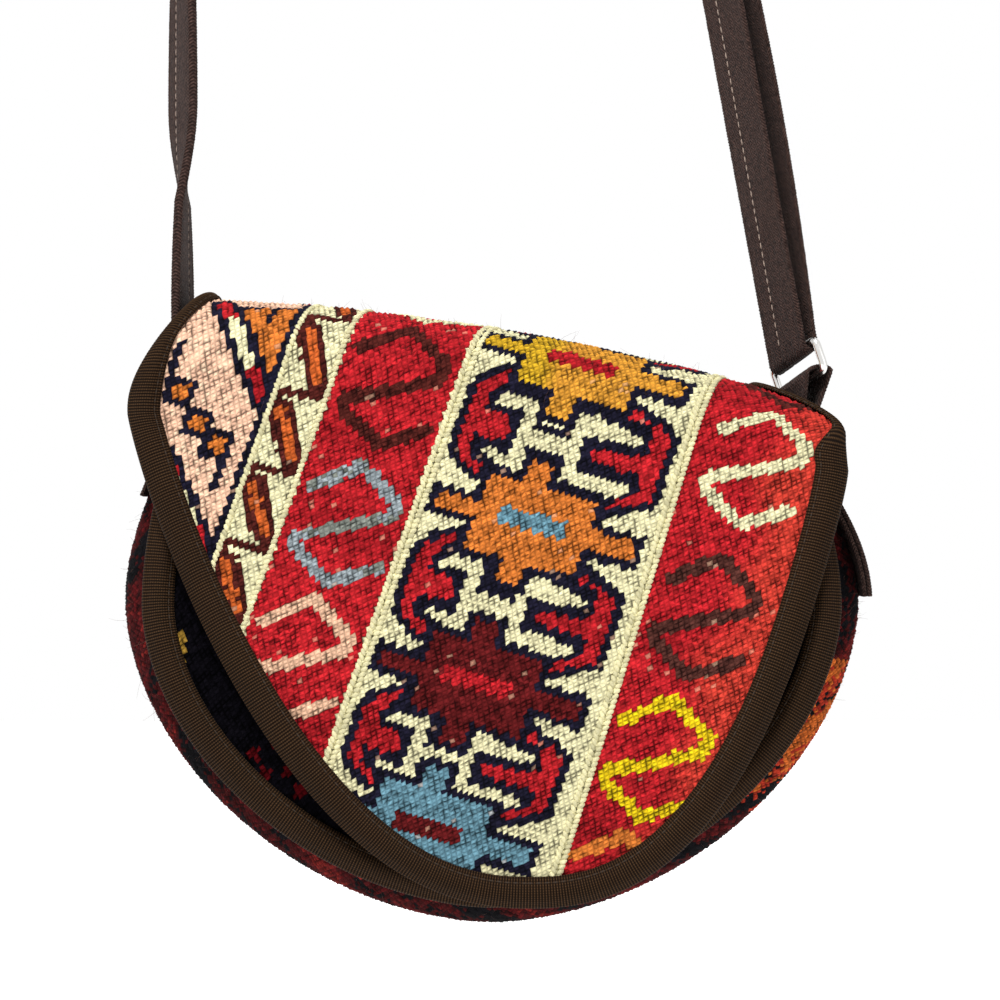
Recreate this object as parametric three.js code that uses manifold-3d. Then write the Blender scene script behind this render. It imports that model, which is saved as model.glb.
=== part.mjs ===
import * as THREE from 'three';
import Module from 'manifold-3d';

// Kilim crossbody bag, hanging from its strap. Lengths are in mm and angles in degrees.
// The front faces -Y, +X is to the right seen from the front and +Z is up.
// Heights named _Z are measured from a level BODY_DROP above the lowest point of the gusset.
// The finished bag is moved so that its origin lies under the strap's crest, on the shoulder.

// Cloth, tape and webbing
const KILIM = 4;
const LINING = 1;
const TAPE = 1;
const TAPE_LEG = 14;
const TAPE_SLACK = 0.6;
const TAPE_BEND = 0.9;
const SEAT_GAP = 0.3;
const WEB = 2;
const WEB_WIDTH = 30;

// Front and back panels, with the gusset strip between them
const PANEL_WIDTH = 298;
const PANEL_ROUNDNESS = 1.8;
const PANEL_TAPER = 1.8;
const BODY_DROP = 7;
const WIDEST_Z = 135;
const MOUTH_Z = 212;
const MOUTH_NARROWING = 17;
const DEPTH_LOW = 62;
const DEPTH_TOP = 42;
const DEPTH_LOW_Z = 100;
const FRONT_PUFF = 8;
const BACK_PUFF = 4;
const GUSSET_INSET = 4;
const GUSSET_PUFF = 15;
const GUSSET_PUFF_TOP = 6;

// Flap, one cloth with the back panel, folded forward over the mouth
const FLAP_OVERHANG = 4;
const FLAP_ROUNDNESS = 2.3;
const FLAP_TAPER = 1.2;
const FLAP_TIP_Z = 7;
const SHOULDER_Z = 210;
const SHOULDER_RIGHT_Z = 234;
const FOLD_Z = 253;
const FLAP_CLEARANCE = 12;
const FLAP_SWELL = 14;
const SWELL_LENGTH = 150;
const TIP_TUCK = 6;
const TIP_TUCK_Z = 100;
const SIDE_FALL = 0.35;
const NECK_LEFT_INSET = 6;
const NECK_RIGHT_INSET = 16;
const NECK_SHARE = 0.58;
const FLAP_SWING = 17;
const SWING_ZERO_Z = 192;

// Hang of the soft body: the left end is pulled up and the right end drops
const HANG_SLOPE = 0.165;
const HANG_FROM_Z = 115;
const CROWN_DROP = 8;

// Strap, ring and slider
const CREST_Z = 690;
const CREST_RADIUS = 103;
const STRAP_SEWN_Z = 176;
const LEFT_TWIST = 23;
const TWIST_LENGTH = 180;
const RUN_TURN = 28;
const FOLD_SKEW = 14;
const SKEW_LENGTH = 60;
const RING_WIRE = 3.6;
const RING_DROP = 14;
const RING_SIDE_PLAY = 1.6;
const RING_CORNER = 3;
const RING_RISE = 45;
const RING_INWARD = 3;
const RING_SWING_PLAY = 3.6;
const TAB_SEWN_Z = 138;
const STUB = 5;
const SLIDER_WIRE = 2.8;
const SLIDER_HEIGHT = 24;
const SLIDER_CORNER = 4;
const SLIDER_SIDE_PLAY = 1;
const SLIDER_UP = 230;
const END_LOOP_LENGTH = 30;
const RETURN_BOW = 3;

// Woven motifs, raised on the flap: u runs along the weft and w down the warp, from the second cross
const MOTIF_RISE = 1.3;
const MOTIF_ROOT = 1.2;
const MOTIF_MARGIN = 17;
const CROSS_X = 17;
const CROSS_Z = 169;
const WEFT_FALL = 16;
const WARP_LEAN = 19.3;
const CROSS_PITCH = 70;
const CROSS_HALF = 24;
const CROSS_HIGH = 16.5;
const CROSS_ARM = 20;
const CROSS_ARM_HIGH = 4;
const CROSS_FOOT = 10;
const CROSS_FOOT_HALF = 5;
const HOOK_HALF = 20;
const HOOK_HIGH = 26;
const HOOK_WIDTH = 4.8;
const HOOK_PITCH = 62;
const HOOK_LEFT_U = -76;
const HOOK_LEFT_W = 22;
const HOOK_RIGHT_U = 82;
const HOOK_RIGHT_W = 18;

// Facets
const EDGE_STEPS = 12;
const ARCH_STEPS = 14;
const PANEL_COLUMNS = 10;
const GUSSET_STEPS = 26;
const GUSSET_COLUMNS = 8;
const POUCH_COLUMNS = 16;
const POUCH_ROWS = 8;
const BEND_STEPS = 8;
const CREST_STEPS = 16;
const WIRE_SIDES = 8;
const CORNER_STEPS = 4;

const COLOURS = {
  kilim: { color: 0xb3222b, roughness: 0.95, metalness: 0 },
  darkKilim: { color: 0x241a22, roughness: 0.95, metalness: 0 },
  gussetKilim: { color: 0x8c2420, roughness: 0.95, metalness: 0 },
  tape: { color: 0x3e3024, roughness: 0.85, metalness: 0 },
  lining: { color: 0x2b2523, roughness: 0.9, metalness: 0 },
  webbing: { color: 0x35221d, roughness: 0.8, metalness: 0 },
  chrome: { color: 0xc9c9c9, roughness: 0.2, metalness: 1 },
};

const wasm = await Module();
wasm.setup();

const { clamp, lerp, degToRad } = THREE.MathUtils;
const vec = (x, y, z) => new THREE.Vector3(x, y, z);
const smooth = (t) => THREE.MathUtils.smoothstep(t, 0, 1);

// Evenly spaced values from one end to the other, both included
function spread(from, to, steps) {
  return Array.from({ length: steps + 1 }, (_, i) => lerp(from, to, i / steps));
}

// Half width of a round-ended outline at a height between its tip and its widest line
function roundHalf(half, z, tip, widest, roundness, taper) {
  const down = clamp((widest - z) / (widest - tip), 0, 1);
  return half * (1 - down ** taper) ** (1 / roundness);
}

// Heights of rows that step evenly round such an outline, from near its tip to its widest line
function roundRows(tip, widest, taper, steps) {
  const turns = spread(0, Math.PI / 2, steps).slice(1);
  const height = (turn) => widest - (widest - tip) * Math.cos(turn) ** (2 / taper);
  return [height(turns[0] / 4), ...turns.map(height)];
}

// Body outline and depth

const panelBottom = GUSSET_PUFF - GUSSET_INSET + KILIM / 2 - BODY_DROP;
const flapWidth = PANEL_WIDTH + 2 * FLAP_OVERHANG;
const mouthHalf = PANEL_WIDTH / 2 - MOUTH_NARROWING;
const crownHalf = mouthHalf - NECK_LEFT_INSET;

function panelHalf(z) {
  if (z < WIDEST_Z) {
    return roundHalf(PANEL_WIDTH / 2, z, panelBottom, WIDEST_Z, PANEL_ROUNDNESS, PANEL_TAPER);
  }
  return PANEL_WIDTH / 2 - MOUTH_NARROWING * ((z - WIDEST_Z) / (MOUTH_Z - WIDEST_Z)) ** 2;
}

function depthAt(z) {
  return lerp(DEPTH_LOW, DEPTH_TOP, smooth((z - DEPTH_LOW_Z) / (MOUTH_Z - DEPTH_LOW_Z)));
}

function puffAt(x, z) {
  const middle = (panelBottom + MOUTH_Z) / 2;
  const high = (z - middle) / (MOUTH_Z - middle);
  const wide = x / (PANEL_WIDTH / 2);
  return Math.max(0, 1 - wide * wide - high * high) ** 1.5;
}

// Panel outline: k is -1 at the left end of the mouth, 0 at the bottom and 1 at the right end
const ROUND_SHARE = 0.66;

function panelEdge(k) {
  const side = Math.sign(k);
  const along = Math.abs(k);
  if (along < ROUND_SHARE) {
    const turn = (along / ROUND_SHARE) * (Math.PI / 2);
    const x = (PANEL_WIDTH / 2) * Math.sin(turn) ** (2 / PANEL_ROUNDNESS);
    const z = WIDEST_Z - (WIDEST_Z - panelBottom) * Math.cos(turn) ** (2 / PANEL_TAPER);
    return new THREE.Vector2(side * x, z);
  }
  const z = lerp(WIDEST_Z, MOUTH_Z, (along - ROUND_SHARE) / (1 - ROUND_SHARE));
  return new THREE.Vector2(side * panelHalf(z), z);
}

function edgeOfHeight(z, side) {
  return side * lerp(ROUND_SHARE, 1, (z - WIDEST_Z) / (MOUTH_Z - WIDEST_Z));
}

function panelInward(k) {
  const step = 0.01;
  const along = panelEdge(k + step).sub(panelEdge(k - step)).normalize();
  return new THREE.Vector2(-along.y, along.x);
}

// Surfaces: each gives a point of a cloth's middle layer, already hanging

function hang(point) {
  const pull = Math.max(0, (point.z - HANG_FROM_Z) / (FOLD_Z - HANG_FROM_Z)) ** 2;
  point.z -= pull * (HANG_SLOPE * point.x + CROWN_DROP * (point.x / crownHalf) ** 2);
  return point;
}

function frontSurface(x, z) {
  return hang(vec(x, -depthAt(z) / 2 - FRONT_PUFF * puffAt(x, z), z));
}

const archRadius = (DEPTH_TOP + FLAP_CLEARANCE) / 2;
const archZ = FOLD_Z - archRadius;
const archY = -FLAP_CLEARANCE / 2;
const backStart = archZ + Math.PI * archRadius;
const backMouth = backStart + archZ - MOUTH_Z;
const backWidest = backStart + archZ - WIDEST_Z;
const backBottom = backStart + archZ - panelBottom;

function swellAt(x, z) {
  const rise = FLAP_SWELL * smooth((archZ - z) / SWELL_LENGTH);
  const tuck = TIP_TUCK * Math.max(0, (TIP_TUCK_Z - z) / (TIP_TUCK_Z - FLAP_TIP_Z)) ** 2;
  return (rise - tuck) * (1 - SIDE_FALL * (x / (flapWidth / 2)) ** 2);
}

// The flap's cloth runs from its tip (s = height) up the front, over the fold and down the back
function flapSurface(x, s) {
  if (s < archZ) {
    return hang(vec(x, archY - archRadius - swellAt(x, s), s));
  }
  if (s < backStart) {
    const turn = (s - archZ) / archRadius;
    return hang(vec(x, archY - archRadius * Math.cos(turn), archZ + archRadius * Math.sin(turn)));
  }
  const z = backStart + archZ - s;
  return hang(vec(x, depthAt(z) / 2 + BACK_PUFF * puffAt(x, z), z));
}

const frontSeam = KILIM / 2 + TAPE_SLACK + TAPE + SEAT_GAP;
const backSeam = KILIM / 2 + LINING + 2 * TAPE_SLACK + TAPE + SEAT_GAP;

// The gusset runs from the front seam (t = -1) to the back seam (t = 1), along the outline k
function gussetSurface(t, k) {
  const edge = panelEdge(k);
  const inward = panelInward(k);
  const rise = smooth((edge.y - WIDEST_Z) / (MOUTH_Z - WIDEST_Z));
  const puff = lerp(GUSSET_PUFF, GUSSET_PUFF_TOP, rise) * (0.5 + 0.5 * Math.cos(Math.PI * t));
  const half = depthAt(edge.y) / 2;
  edge.addScaledVector(inward, GUSSET_INSET - puff);
  return hang(vec(edge.x, lerp(frontSeam - half, half - backSeam, (t + 1) / 2), edge.y));
}

// Point at a height off a surface, along its outward normal
function lift(surface, a, b, height, step = 0.2) {
  const across = surface(a + step, b).sub(surface(a - step, b));
  const along = surface(a, b + step).sub(surface(a, b - step));
  return surface(a, b).addScaledVector(across.cross(along).normalize(), height);
}

const liftGusset = (t, k, height) => lift(gussetSurface, t, k, height, 0.004);

// Closed bodies

function outward(geometry) {
  const index = geometry.getIndex().array;
  const place = geometry.getAttribute('position');
  const corner = (i) => new THREE.Vector3().fromBufferAttribute(place, index[i]);
  let volume = 0;
  for (let i = 0; i < index.length; i += 3) {
    volume += corner(i).dot(corner(i + 1).cross(corner(i + 2)));
  }
  if (volume < 0) {
    index.reverse();
  }
  geometry.computeVertexNormals();
  return geometry;
}

function body(points, index) {
  const geometry = new THREE.BufferGeometry();
  geometry.setFromPoints(points);
  geometry.setIndex(index);
  return outward(geometry);
}

// Skin through equal rings of points; capFaces close the two end rings
function loft(rings, capFaces) {
  const size = rings[0].length;
  const index = [];
  const spans = capFaces ? rings.length - 1 : rings.length;
  for (let i = 0; i < spans; i += 1) {
    const here = i * size;
    const next = ((i + 1) % rings.length) * size;
    for (let j = 0; j < size; j += 1) {
      const k = (j + 1) % size;
      index.push(here + j, here + k, next + k, here + j, next + k, next + j);
    }
  }
  const last = (rings.length - 1) * size;
  for (const [a, b, c] of capFaces ?? []) {
    index.push(a, c, b, last + a, last + b, last + c);
  }
  return body(rings.flat(), index);
}

// Cloth of even thickness over rows of pattern points, from a low to a high layer
function cloth(surface, rows, low, high) {
  const rings = rows.map((row) => [
    ...row.map(([a, b]) => surface(a, b, high)),
    ...row.toReversed().map(([a, b]) => surface(a, b, low)),
  ]);
  const columns = rows[0].length;
  const caps = [];
  for (let j = 0; j < columns - 1; j += 1) {
    const under = 2 * columns - 1 - j;
    caps.push([j, j + 1, under - 1], [j, under - 1, under]);
  }
  return loft(rings, caps);
}

// Folded tape round an edge: stops are {edge, inward} in pattern coordinates
function binding(surface, stops, slotLow, slotHigh, closed) {
  const section = [
    [TAPE_LEG, slotHigh + TAPE],
    [-TAPE_BEND - TAPE, slotHigh + TAPE],
    [-TAPE_BEND - TAPE, slotLow - TAPE],
    [TAPE_LEG, slotLow - TAPE],
    [TAPE_LEG, slotLow],
    [-TAPE_BEND, slotLow],
    [-TAPE_BEND, slotHigh],
    [TAPE_LEG, slotHigh],
  ];
  const rings = stops.map(({ edge, inward }) => section.map(([inset, height]) => {
    const at = edge.clone().addScaledVector(inward, inset);
    return surface(at.x, at.y, height);
  }));
  const outline = section.map(([a, b]) => new THREE.Vector2(a, b));
  return loft(rings, closed ? null : THREE.ShapeUtils.triangulateShape(outline, []));
}

// Webbing through stations of {centre, across}
function webbing(stations) {
  const rings = stations.map(({ centre, across }, i) => {
    const before = stations[Math.max(i - 1, 0)].centre;
    const after = stations[Math.min(i + 1, stations.length - 1)].centre;
    const face = after.clone().sub(before).cross(across).normalize();
    const corner = (side, layer) => centre.clone()
      .addScaledVector(across, side * WEB_WIDTH / 2)
      .addScaledVector(face, layer * WEB / 2);
    return [corner(-1, -1), corner(1, -1), corner(1, 1), corner(-1, 1)];
  });
  return loft(rings, [[0, 1, 2], [0, 2, 3]]);
}

// Round wire along a path of points; side is the direction that is square to the whole path
function wire(path, diameter, side, closed) {
  const count = path.length;
  const rings = path.map((centre, i) => {
    const before = path[closed ? (i + count - 1) % count : Math.max(i - 1, 0)];
    const after = path[closed ? (i + 1) % count : Math.min(i + 1, count - 1)];
    const out = after.clone().sub(before).cross(side).normalize();
    return Array.from({ length: WIRE_SIDES }, (_, j) => {
      const turn = ((j + 0.5) / WIRE_SIDES) * 2 * Math.PI;
      return centre.clone()
        .addScaledVector(out, (diameter / 2) * Math.cos(turn))
        .addScaledVector(side, (diameter / 2) * Math.sin(turn));
    });
  });
  const round = Array.from({ length: WIRE_SIDES - 2 }, (_, j) => [0, j + 1, j + 2]);
  return loft(rings, closed ? null : round);
}

// Rectangle with round corners in the XZ plane
function roundedLoop(halfX, halfZ, radius) {
  return [[1, 1], [-1, 1], [-1, -1], [1, -1]].flatMap(([sideX, sideZ], quarter) => {
    const turns = spread(quarter, quarter + 1, CORNER_STEPS).map((turn) => turn * (Math.PI / 2));
    return turns.map((turn) => vec(
      sideX * (halfX - radius) + radius * Math.cos(turn),
      0,
      sideZ * (halfZ - radius) + radius * Math.sin(turn),
    ));
  });
}

function solidOf(geometry) {
  return new wasm.Manifold(new wasm.Mesh({
    numProp: 3,
    vertProperties: geometry.getAttribute('position').array,
    triVerts: Uint32Array.from(geometry.getIndex().array),
  }));
}

function joined(...solids) {
  const mesh = solids.reduce((whole, solid) => whole.add(solid)).getMesh();
  const geometry = new THREE.BufferGeometry();
  geometry.setAttribute('position', new THREE.BufferAttribute(mesh.vertProperties, 3));
  geometry.setIndex(Array.from(mesh.triVerts));
  return outward(geometry);
}

// Flap and back cloth, its lining and its tape

function flapHalf(s, side) {
  const neck = mouthHalf - (side < 0 ? NECK_LEFT_INSET : NECK_RIGHT_INSET);
  const neckAt = lerp(archZ, backStart, NECK_SHARE);
  const shoulder = side < 0 ? SHOULDER_Z : SHOULDER_RIGHT_Z;
  if (s < shoulder) {
    return roundHalf(flapWidth / 2, s, FLAP_TIP_Z, SHOULDER_Z, FLAP_ROUNDNESS, FLAP_TAPER);
  }
  if (s < neckAt) {
    return lerp(flapWidth / 2, neck, smooth((s - shoulder) / (neckAt - shoulder)));
  }
  if (s < backMouth) {
    return lerp(neck, mouthHalf, (s - neckAt) / (backMouth - neckAt));
  }
  return panelHalf(backStart + archZ - s);
}

function flapEdge(s, side, inset = 0) {
  const fade = 1 - smooth((s - SHOULDER_Z) / (FOLD_Z - SHOULDER_Z));
  const middle = FLAP_SWING * (1 - s / SWING_ZERO_Z) * fade;
  return new THREE.Vector2(middle + side * (flapHalf(s, side) - inset), s);
}

const flapRows = [
  ...roundRows(FLAP_TIP_Z, SHOULDER_Z, FLAP_TAPER, EDGE_STEPS),
  ...spread(SHOULDER_Z, archZ, 2).slice(1),
  ...spread(archZ, backStart, ARCH_STEPS).slice(1),
  ...spread(backStart, backMouth, 2).slice(1),
  ...spread(backMouth, backWidest, 4).slice(1),
  ...roundRows(panelBottom, WIDEST_Z, PANEL_TAPER, EDGE_STEPS)
    .map((z) => backStart + archZ - z).reverse().slice(1),
];

const liftFlap = (x, s, height) => lift(flapSurface, x, s, height);

function flapGrid(rows, inset) {
  return rows.map((s) => spread(flapEdge(s, -1, inset).x, flapEdge(s, 1, inset).x, PANEL_COLUMNS)
    .map((x) => [x, s]));
}

// Pattern place of a point of the weave, lifted back to where it was before it hung
function onFlap([u, w]) {
  const x = CROSS_X + u * Math.cos(degToRad(WEFT_FALL)) - w * Math.sin(degToRad(WARP_LEAN));
  const hung = CROSS_Z - u * Math.sin(degToRad(WEFT_FALL)) - w * Math.cos(degToRad(WARP_LEAN));
  let s = hung;
  for (let i = 0; i < 20; i += 1) {
    s += hung - hang(vec(x, 0, s)).z;
  }
  return [x, s];
}

function block(u, w, halfU, halfW) {
  return [[u - halfU, w - halfW], [u + halfU, w - halfW], [u + halfU, w + halfW], [u - halfU, w + halfW]];
}

function crossMotif(w) {
  return [
    block(0, w, CROSS_HALF, CROSS_HIGH),
    block(0, w, CROSS_HALF + CROSS_ARM, CROSS_ARM_HIGH),
    block(0, w, CROSS_FOOT_HALF, CROSS_HIGH + CROSS_FOOT),
  ];
}

// Claw between two crosses, with prongs that point to the middle
function clawMotif(w, side) {
  const inner = CROSS_HALF + CROSS_ARM / 5;
  const outer = CROSS_HALF + CROSS_ARM;
  const high = CROSS_PITCH / 2 - CROSS_FOOT - CROSS_ARM_HIGH;
  const ring = [
    [inner, -high], [outer, -high / 2], [outer, high / 2], [inner, high],
    [inner, high - HOOK_WIDTH], [outer - HOOK_WIDTH, high / 2 - HOOK_WIDTH / 2],
    [outer - HOOK_WIDTH, HOOK_WIDTH / 2], [inner / 2, HOOK_WIDTH / 2], [inner / 2, -HOOK_WIDTH / 2],
    [outer - HOOK_WIDTH, -HOOK_WIDTH / 2], [outer - HOOK_WIDTH, HOOK_WIDTH / 2 - high / 2],
    [inner, HOOK_WIDTH - high],
  ];
  return [ring.map(([u, v]) => [side * u, w + v])];
}

// Band of even width along a bent line
function ribbon(line, width) {
  const points = line.map(([u, w]) => new THREE.Vector2(u, w));
  const normals = points.map((point, i) => {
    const before = point.clone().sub(points[Math.max(i - 1, 0)]).normalize();
    const after = points[Math.min(i + 1, points.length - 1)].clone().sub(point).normalize();
    const along = before.clone().add(after).normalize();
    const bend = Math.max(along.dot(after), along.dot(before));
    return new THREE.Vector2(-along.y, along.x).multiplyScalar(width / 2 / bend);
  });
  const shifted = (point, i, sign) => point.clone().addScaledVector(normals[i], sign).toArray();
  const side = (sign) => points.map((point, i) => shifted(point, i, sign));
  return [...side(1), ...side(-1).reverse()];
}

function hookMotif(u, w) {
  const line = [
    [-HOOK_HALF, -HOOK_HIGH / 2], [0, -HOOK_HIGH], [HOOK_HALF, -HOOK_HIGH / 2],
    [-HOOK_HALF, HOOK_HIGH / 2], [0, HOOK_HIGH], [HOOK_HALF, HOOK_HIGH / 2],
  ];
  return [ribbon(line.map(([du, dw]) => [u + du, w + dw]), HOOK_WIDTH)];
}

function wovenMotifs() {
  const { CrossSection } = wasm;
  const shapes = [0, 1, 2].flatMap((row) => [
    ...crossMotif(row * CROSS_PITCH),
    ...clawMotif((row - 0.5) * CROSS_PITCH, -1),
    ...clawMotif((row - 0.5) * CROSS_PITCH, 1),
    ...hookMotif(HOOK_LEFT_U, HOOK_LEFT_W + (row - 1) * HOOK_PITCH),
    ...hookMotif(HOOK_RIGHT_U, HOOK_RIGHT_W + (row - 1) * HOOK_PITCH),
  ]);
  const parts = shapes.map((ring) => new CrossSection([ring.map(onFlap)], 'EvenOdd'));
  const front = [...flapRows.filter((s) => s < archZ), archZ + MOTIF_MARGIN];
  const edge = (side) => front.map((s) => flapEdge(s, side).toArray());
  const outline = new CrossSection([[...edge(1), ...edge(-1).reverse()]], 'EvenOdd');
  const woven = CrossSection.union(parts).intersect(outline.offset(-MOTIF_MARGIN, 'Miter'));
  return woven.extrude(MOTIF_ROOT + MOTIF_RISE).warp((place) => {
    const raised = liftFlap(place[0], place[1], KILIM / 2 - MOTIF_ROOT + place[2]);
    raised.toArray(place);
  });
}

function flapAndBack() {
  const plain = cloth(liftFlap, flapGrid(flapRows, 0), -KILIM / 2, KILIM / 2);
  return joined(solidOf(plain), wovenMotifs());
}

function flapLining() {
  const end = lerp(archZ, backStart, 0.8);
  const rows = flapRows.filter((s) => s < end);
  const top = -KILIM / 2 - TAPE_SLACK;
  return cloth(liftFlap, flapGrid(rows, TAPE_SLACK), top - LINING, top);
}

// Round both ends the tape stands square to the edge, and over the fold it lies along the rows
function flapStops() {
  const right = flapRows.map((s) => flapEdge(s, 1));
  const left = flapRows.toReversed().map((s) => flapEdge(s, -1));
  const bottom = new THREE.Vector2(0, backBottom);
  const tip = new THREE.Vector2(flapEdge(FLAP_TIP_Z, 1).x, FLAP_TIP_Z);
  const loop = [...right, bottom, ...left, tip];
  return loop.map((edge, i) => {
    if (edge.y >= SHOULDER_Z && edge.y <= backMouth) {
      return { edge, inward: new THREE.Vector2(-Math.sign(edge.x), 0) };
    }
    const before = loop[(i + loop.length - 1) % loop.length];
    const along = loop[(i + 1) % loop.length].clone().sub(before).normalize();
    return { edge, inward: new THREE.Vector2(-along.y, along.x) };
  });
}

function flapBinding() {
  const slotLow = -KILIM / 2 - LINING - 2 * TAPE_SLACK;
  return binding(liftFlap, flapStops(), slotLow, KILIM / 2 + TAPE_SLACK, true);
}

// Front panel with its seam tape and the tape on its mouth edge

const liftFront = (x, z, height) => lift(frontSurface, x, z, height);
const frontSlot = KILIM / 2 + TAPE_SLACK;

function frontPanel() {
  const heights = [
    ...roundRows(panelBottom, WIDEST_Z, PANEL_TAPER, EDGE_STEPS),
    ...spread(WIDEST_Z, MOUTH_Z, 6).slice(1),
  ];
  const rows = heights.map((z) => spread(-panelHalf(z), panelHalf(z), PANEL_COLUMNS).map((x) => [x, z]));
  return cloth(liftFront, rows, -KILIM / 2, KILIM / 2);
}

function frontBinding() {
  const stops = spread(-1, 1, 2 * GUSSET_STEPS)
    .map((k) => ({ edge: panelEdge(k), inward: panelInward(k) }));
  return binding(liftFront, stops, -frontSlot, frontSlot, false);
}

function mouthBinding() {
  const half = mouthHalf - TAPE_LEG - 2 * SEAT_GAP;
  const stops = spread(half, -half, PANEL_COLUMNS)
    .map((x) => ({ edge: new THREE.Vector2(x, MOUTH_Z), inward: new THREE.Vector2(0, -1) }));
  return binding(liftFront, stops, -frontSlot, frontSlot, false);
}

function gusset() {
  const rows = spread(-1, 1, GUSSET_STEPS)
    .map((k) => spread(-1, 1, GUSSET_COLUMNS).map((t) => [t, k]));
  return cloth(liftGusset, rows, -KILIM / 2, KILIM / 2);
}

// Lining pouch: rings round the inside, from the bottom to just under the mouth

function pouchRing(z, wall) {
  const inset = GUSSET_INSET + KILIM / 2 + 2 * TAPE_SLACK;
  const edge = panelBottom + inset;
  const half = z < WIDEST_Z
    ? roundHalf(PANEL_WIDTH / 2 - inset, z, edge, WIDEST_Z, PANEL_ROUNDNESS, PANEL_TAPER)
    : panelHalf(z) - inset;
  return Array.from({ length: POUCH_COLUMNS }, (_, j) => {
    const turn = ((j + 0.5) / POUCH_COLUMNS) * 2 * Math.PI;
    const round = (value) => Math.sign(value) * Math.abs(value) ** 0.5;
    const x = (half - wall) * round(Math.cos(turn));
    const seam = turn < Math.PI ? backSeam : frontSeam;
    const puff = (turn < Math.PI ? BACK_PUFF : FRONT_PUFF) * puffAt(x, z);
    const reach = depthAt(z) / 2 - seam - SEAT_GAP + puff - wall;
    return hang(vec(x, reach * round(Math.sin(turn)), z));
  });
}

function liningPouch() {
  const floor = panelBottom + GUSSET_INSET + KILIM / 2 + 2 * TAPE_SLACK;
  const low = roundRows(floor, WIDEST_Z, PANEL_TAPER, POUCH_ROWS);
  const heights = [...low, ...spread(WIDEST_Z, MOUTH_Z - TAPE, 5).slice(1)];
  const outside = heights.map((z) => pouchRing(z, 0));
  const inside = heights.map((z) => pouchRing(z, LINING)).reverse();
  inside[inside.length - 1].forEach((point) => point.setZ(point.z + LINING));
  const fan = Array.from({ length: POUCH_COLUMNS - 2 }, (_, j) => [0, j + 1, j + 2]);
  return loft([...outside, ...inside], fan);
}

// Places of the strap, ring and slider

const webLift = KILIM / 2 + SEAT_GAP + WEB / 2;

function webSeat(z, side, layers) {
  return liftGusset(0, edgeOfHeight(z, side), webLift + layers * (WEB + SEAT_GAP));
}

const leftTop = webSeat(MOUTH_Z, -1, 0);
const rightTop = webSeat(MOUTH_Z, 1, 0);
const crest = vec(leftTop.x + CREST_RADIUS, 0, CREST_Z - CREST_RADIUS);
const ringBar = vec(rightTop.x - RING_INWARD, 0, rightTop.z + RING_RISE);

// The right run leans so that it leaves the crest's curve at a tangent
const toCrest = crest.clone().sub(ringBar);
const lean = Math.atan2(-toCrest.x, toCrest.z) - Math.asin(CREST_RADIUS / toCrest.length());
const runUp = vec(-Math.sin(lean), 0, Math.cos(lean));
const runAcross = vec(Math.sin(degToRad(RUN_TURN)), -Math.cos(degToRad(RUN_TURN)), 0);
runAcross.addScaledVector(runUp, -runAcross.dot(runUp)).normalize();
const runFace = runUp.clone().cross(runAcross);

// The ring's bars cross the run at a skew
const skew = Math.tan(degToRad(FOLD_SKEW));
const barAcross = runAcross.clone().addScaledVector(runUp, skew);
const ringAcross = barAcross.clone().normalize();
const ringUp = ringAcross.clone().cross(runFace);

const foldRadius = RING_WIRE / 2 + SEAT_GAP + WEB / 2;

// Point of the right run: up from the ring's bar, and out from the strap's middle layer
function runPoint(up, out) {
  return ringBar.clone().addScaledVector(runUp, up).addScaledVector(runFace, out - foldRadius);
}

function runAcrossAt(up) {
  return runAcross.clone().addScaledVector(runUp, skew * (1 - smooth(up / SKEW_LENGTH)));
}

// The crest's curve goes from the left run (share 0) to the right run (share 1)
function crestPoint(share) {
  const turn = lerp(Math.PI, lean, share);
  const runStart = runPoint(0, 0);
  const runOut = vec(Math.cos(lean), 0, Math.sin(lean));
  const radius = lerp(CREST_RADIUS, runStart.clone().sub(crest).dot(runOut), share);
  const y = lerp(leftTop.y, runStart.y, share);
  return vec(crest.x + radius * Math.cos(turn), y, crest.z + radius * Math.sin(turn));
}

const crestTop = crestPoint(Math.PI / 2 / (Math.PI - lean));

// Half turn round a bar, from the strap's side (-face) to the other side
function foldStations(bar, facing, tip, faceRadius, tipRadius, across) {
  return spread(0, Math.PI, BEND_STEPS).map((turn) => ({
    centre: bar.clone()
      .addScaledVector(facing, -faceRadius * Math.cos(turn))
      .addScaledVector(tip, tipRadius * Math.sin(turn)),
    across: across.clone(),
  }));
}

// Strap: sewn to the left end of the gusset, up over the shoulder, down to the ring and round its bar

// The left run turns one way, then the other, and comes back to straight before the crest
function leftAcross(rise) {
  const held = TWIST_LENGTH * 0.75;
  const back = smooth((rise - held) / (crest.z - leftTop.z - held));
  const turn = rise < held ? Math.sin((rise / TWIST_LENGTH) * 2 * Math.PI) : back - 1;
  const angle = degToRad(LEFT_TWIST) * turn;
  return vec(-Math.sin(angle), -Math.cos(angle), 0);
}

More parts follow.
